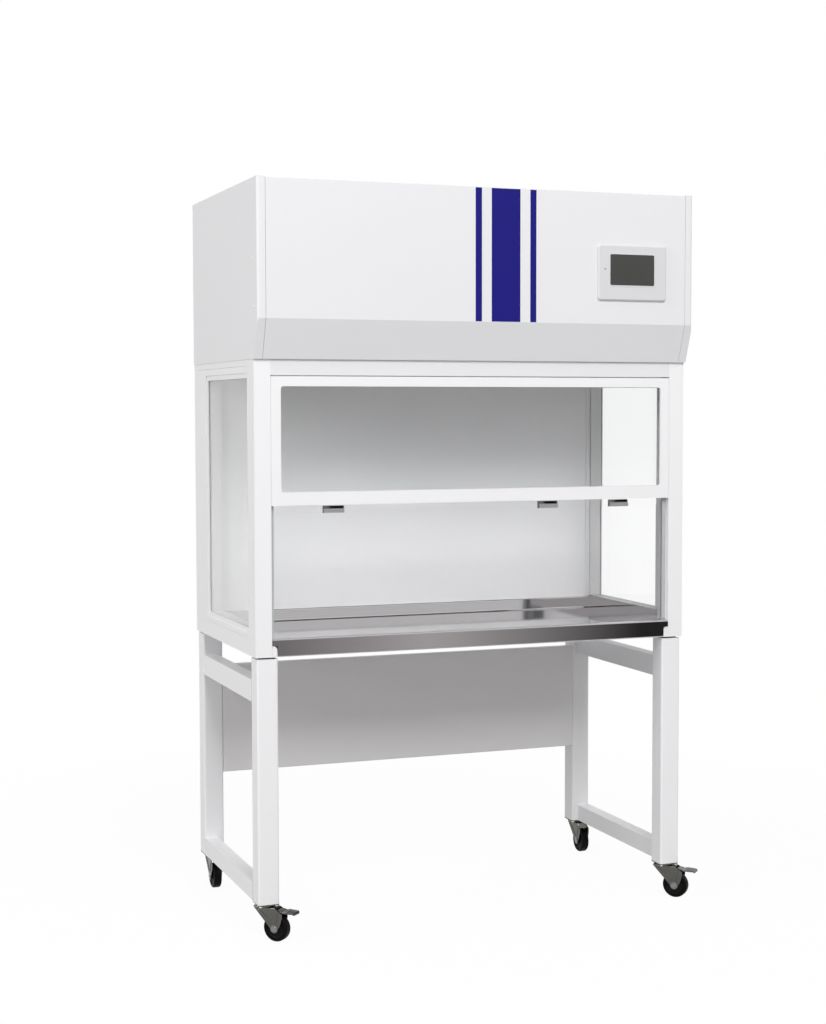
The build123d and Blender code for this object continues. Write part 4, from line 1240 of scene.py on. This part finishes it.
@dataclass(frozen=True)
class Studio:
    """Floor, lamps, world and camera."""

    lens: float = 61.896
    sight: float = 200.0
    yaw: float = 20.5706
    pitch: float = -3.2655
    roll: float = -0.1155
    eye: Point = (-1.93356, -4.8847, 1.4483)
    floor_half: float = 30.0
    near_floor: float = 1.2
    far_floor: float = 3.0
    floor_white: float = 0.95
    floor_grey: float = 0.90
    floor_dim: float = 0.42
    sky_light: float = 0.50
    card_y: float = -2.4
    card_bow: float = 0.6
    card_low: float = 0.02
    card_top: float = 0.9
    card_left: float = -1.2
    card_right: float = 4.2
    card_columns: int = 12
    card_reach: float = 1.9
    # Card tones along x: painted reflection for the tray's apron, mid grey at the start, bright at
    # the crest, near black at the end.
    card_start_reflection: Colour = (0.215, 0.203, 0.207)
    card_crest_reflection: Colour = (0.615, 0.587, 0.587)
    card_crest: float = 0.45
    card_end_reflection: Colour = (0.0290, 0.0275, 0.0275)
    lamps: tuple[Lamp, ...] = (
        Lamp("key_lamp", (-0.4, -7.5, 6.2), 3.6, 480.0),
        Lamp("side_lamp", (-7.5, -1.5, 4.5), 3.4, 225.0),
    )

    def camera(self) -> None:
        """Stands the camera at the eye point."""
        data = bpy.data.cameras.new("camera")
        data.lens = self.lens
        data.clip_end = self.sight
        camera = bpy.data.objects.new("camera", data)
        bpy.context.scene.collection.objects.link(camera)
        turn = (
            Matrix.Rotation(-math.radians(self.yaw), 4, "Z")
            @ Matrix.Rotation(math.radians(90.0 + self.pitch), 4, "X")
            @ Matrix.Rotation(math.radians(self.roll), 4, "Z")
        )
        camera.matrix_world = Matrix.Translation(self.eye) @ turn
        bpy.context.scene.camera = camera

    def seen(self, sheet: NodeSheet) -> Socket:
        """Gives 1 on camera, glossy and transmission rays.

        Args:
            sheet: The node sheet.

        Returns:
            The value socket.
        """
        path = sheet.add("ShaderNodeLightPath")
        total = path.outputs["Is Camera Ray"]
        for name in ("Is Glossy Ray", "Is Transmission Ray"):
            total = sheet.maths("MAXIMUM", total, path.outputs[name])
        return total

    def floor(self) -> None:
        """Lays the pale floor, which turns to plain white far from the object."""
        mesh = bpy.data.meshes.new("floor")
        half = self.floor_half
        corners = [(-half, -half, 0), (half, -half, 0), (half, half, 0), (-half, half, 0)]
        mesh.from_pydata(corners, [], [(0, 1, 2, 3)])
        floor = bpy.data.objects.new("floor", mesh)
        bpy.context.scene.collection.objects.link(floor)
        sheet = NodeSheet(bpy.data.materials.new("floor_paper"))
        paper, dim_paper = (
            sheet.add("ShaderNodeBsdfDiffuse", Color=(tone, tone, tone, 1.0)).outputs["BSDF"]
            for tone in (self.floor_grey, self.floor_dim)
        )
        white = sheet.add("ShaderNodeEmission", Color=WHITE)
        length = sheet.add("ShaderNodeVectorMath")
        length.operation = "LENGTH"
        sheet.link(sheet.place(), length.inputs[0])
        fade = sheet.span(
            length.outputs["Value"], self.floor_white, 1.0, self.near_floor, self.far_floor
        )
        shown = sheet.mix(fade, paper, white.outputs["Emission"])
        sheet.show(sheet.mix(self.seen(sheet), dim_paper, shown))
        mesh.materials.append(sheet.owner)

    def dark_card(self) -> None:
        """Stands a bowed dark card in front, which only glossy surfaces show: a painted
        reflection.
        """
        verts = []
        for share in shares(self.card_columns):
            x = self.card_left + (self.card_right - self.card_left) * share
            y = self.card_y - self.card_bow * math.sin(math.pi * share)
            verts += [(x, y, self.card_low), (x, y, self.card_top)]
        faces = [(2 * c, 2 * c + 2, 2 * c + 3, 2 * c + 1) for c in range(self.card_columns)]
        mesh = bpy.data.meshes.new("dark_card")
        mesh.from_pydata(verts, [], faces)
        card = bpy.data.objects.new("dark_card", mesh)
        bpy.context.scene.collection.objects.link(card)
        card.visible_camera = False
        card.visible_diffuse = False
        card.visible_shadow = False
        card.visible_transmission = False
        # The card glows with a ramp along x, a painted reflection that gives the apron its
        # gradient and dims the front's gloss.
        sheet = NodeSheet(bpy.data.materials.new("card_painted_reflection"))
        ramp = sheet.add("ShaderNodeValToRGB")
        bands = ramp.color_ramp.elements
        bands[0].color = (*self.card_start_reflection, 1.0)
        bands[1].color = (*self.card_end_reflection, 1.0)
        bands.new(self.card_crest).color = (*self.card_crest_reflection, 1.0)
        run = sheet.span(sheet.axis("X"), 0.0, 1.0, 0.0, self.card_reach)
        sheet.link(run, ramp.inputs["Fac"])
        reflection_glow = sheet.add("ShaderNodeEmission")
        sheet.link(ramp.outputs["Color"], reflection_glow.inputs["Color"])
        sheet.show(reflection_glow.outputs["Emission"])
        mesh.materials.append(sheet.owner)

    def sky(self) -> None:
        """Lights the world evenly and shows it white."""
        world = bpy.data.worlds.new("sky")
        bpy.context.scene.world = world
        sheet = NodeSheet(world, "ShaderNodeOutputWorld")
        light = sheet.add("ShaderNodeBackground", Color=WHITE, Strength=self.sky_light)
        shown = sheet.add("ShaderNodeBackground", Color=WHITE)
        sheet.show(sheet.mix(self.seen(sheet), light.outputs[0], shown.outputs[0]))

    def build(self) -> None:
        """Sets the whole studio."""
        self.camera()
        self.floor()
        self.dark_card()
        self.sky()
        for lamp in self.lamps:
            lamp.hang()
        bpy.context.scene.view_settings.view_transform = "Standard"


def dress_frame(nodes: dict[str, bpy.types.Object]) -> None:
    """Lays the finishes on the nodes of the fixed frame.

    Args:
        nodes: The frame's objects by name.
    """
    for finish, names in NODE_FINISHES.items():
        for name in names:
            finish.dress(nodes[name])
            LOG.info("dressed %s with %s", name, finish.name)
    for corner in Corner:
        for part, finish in CASTER_FINISHES.items():
            if part != "pedal" or corner.braked:
                finish.dress(nodes[f"{corner.value}_{part}"])
        LOG.info("dressed the %s caster", corner.value)


def main() -> None:
    """Builds the dressed hood in order."""
    logging.basicConfig(level=logging.INFO, format="%(name)s: %(message)s")
    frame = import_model()
    dress_frame(frame["nodes"])
    for corner in Corner:
        Caster(corner).build()
    Glazing().build()
    SashGrips().build()
    TouchPanel().build()
    StandWelds().build()
    TraySeal().build()
    LampFittings().build()
    FilterPleats().build()
    RearScrews().build()
    InletPins().build()
    Studio().build()


if __name__ == "__main__":
    main()
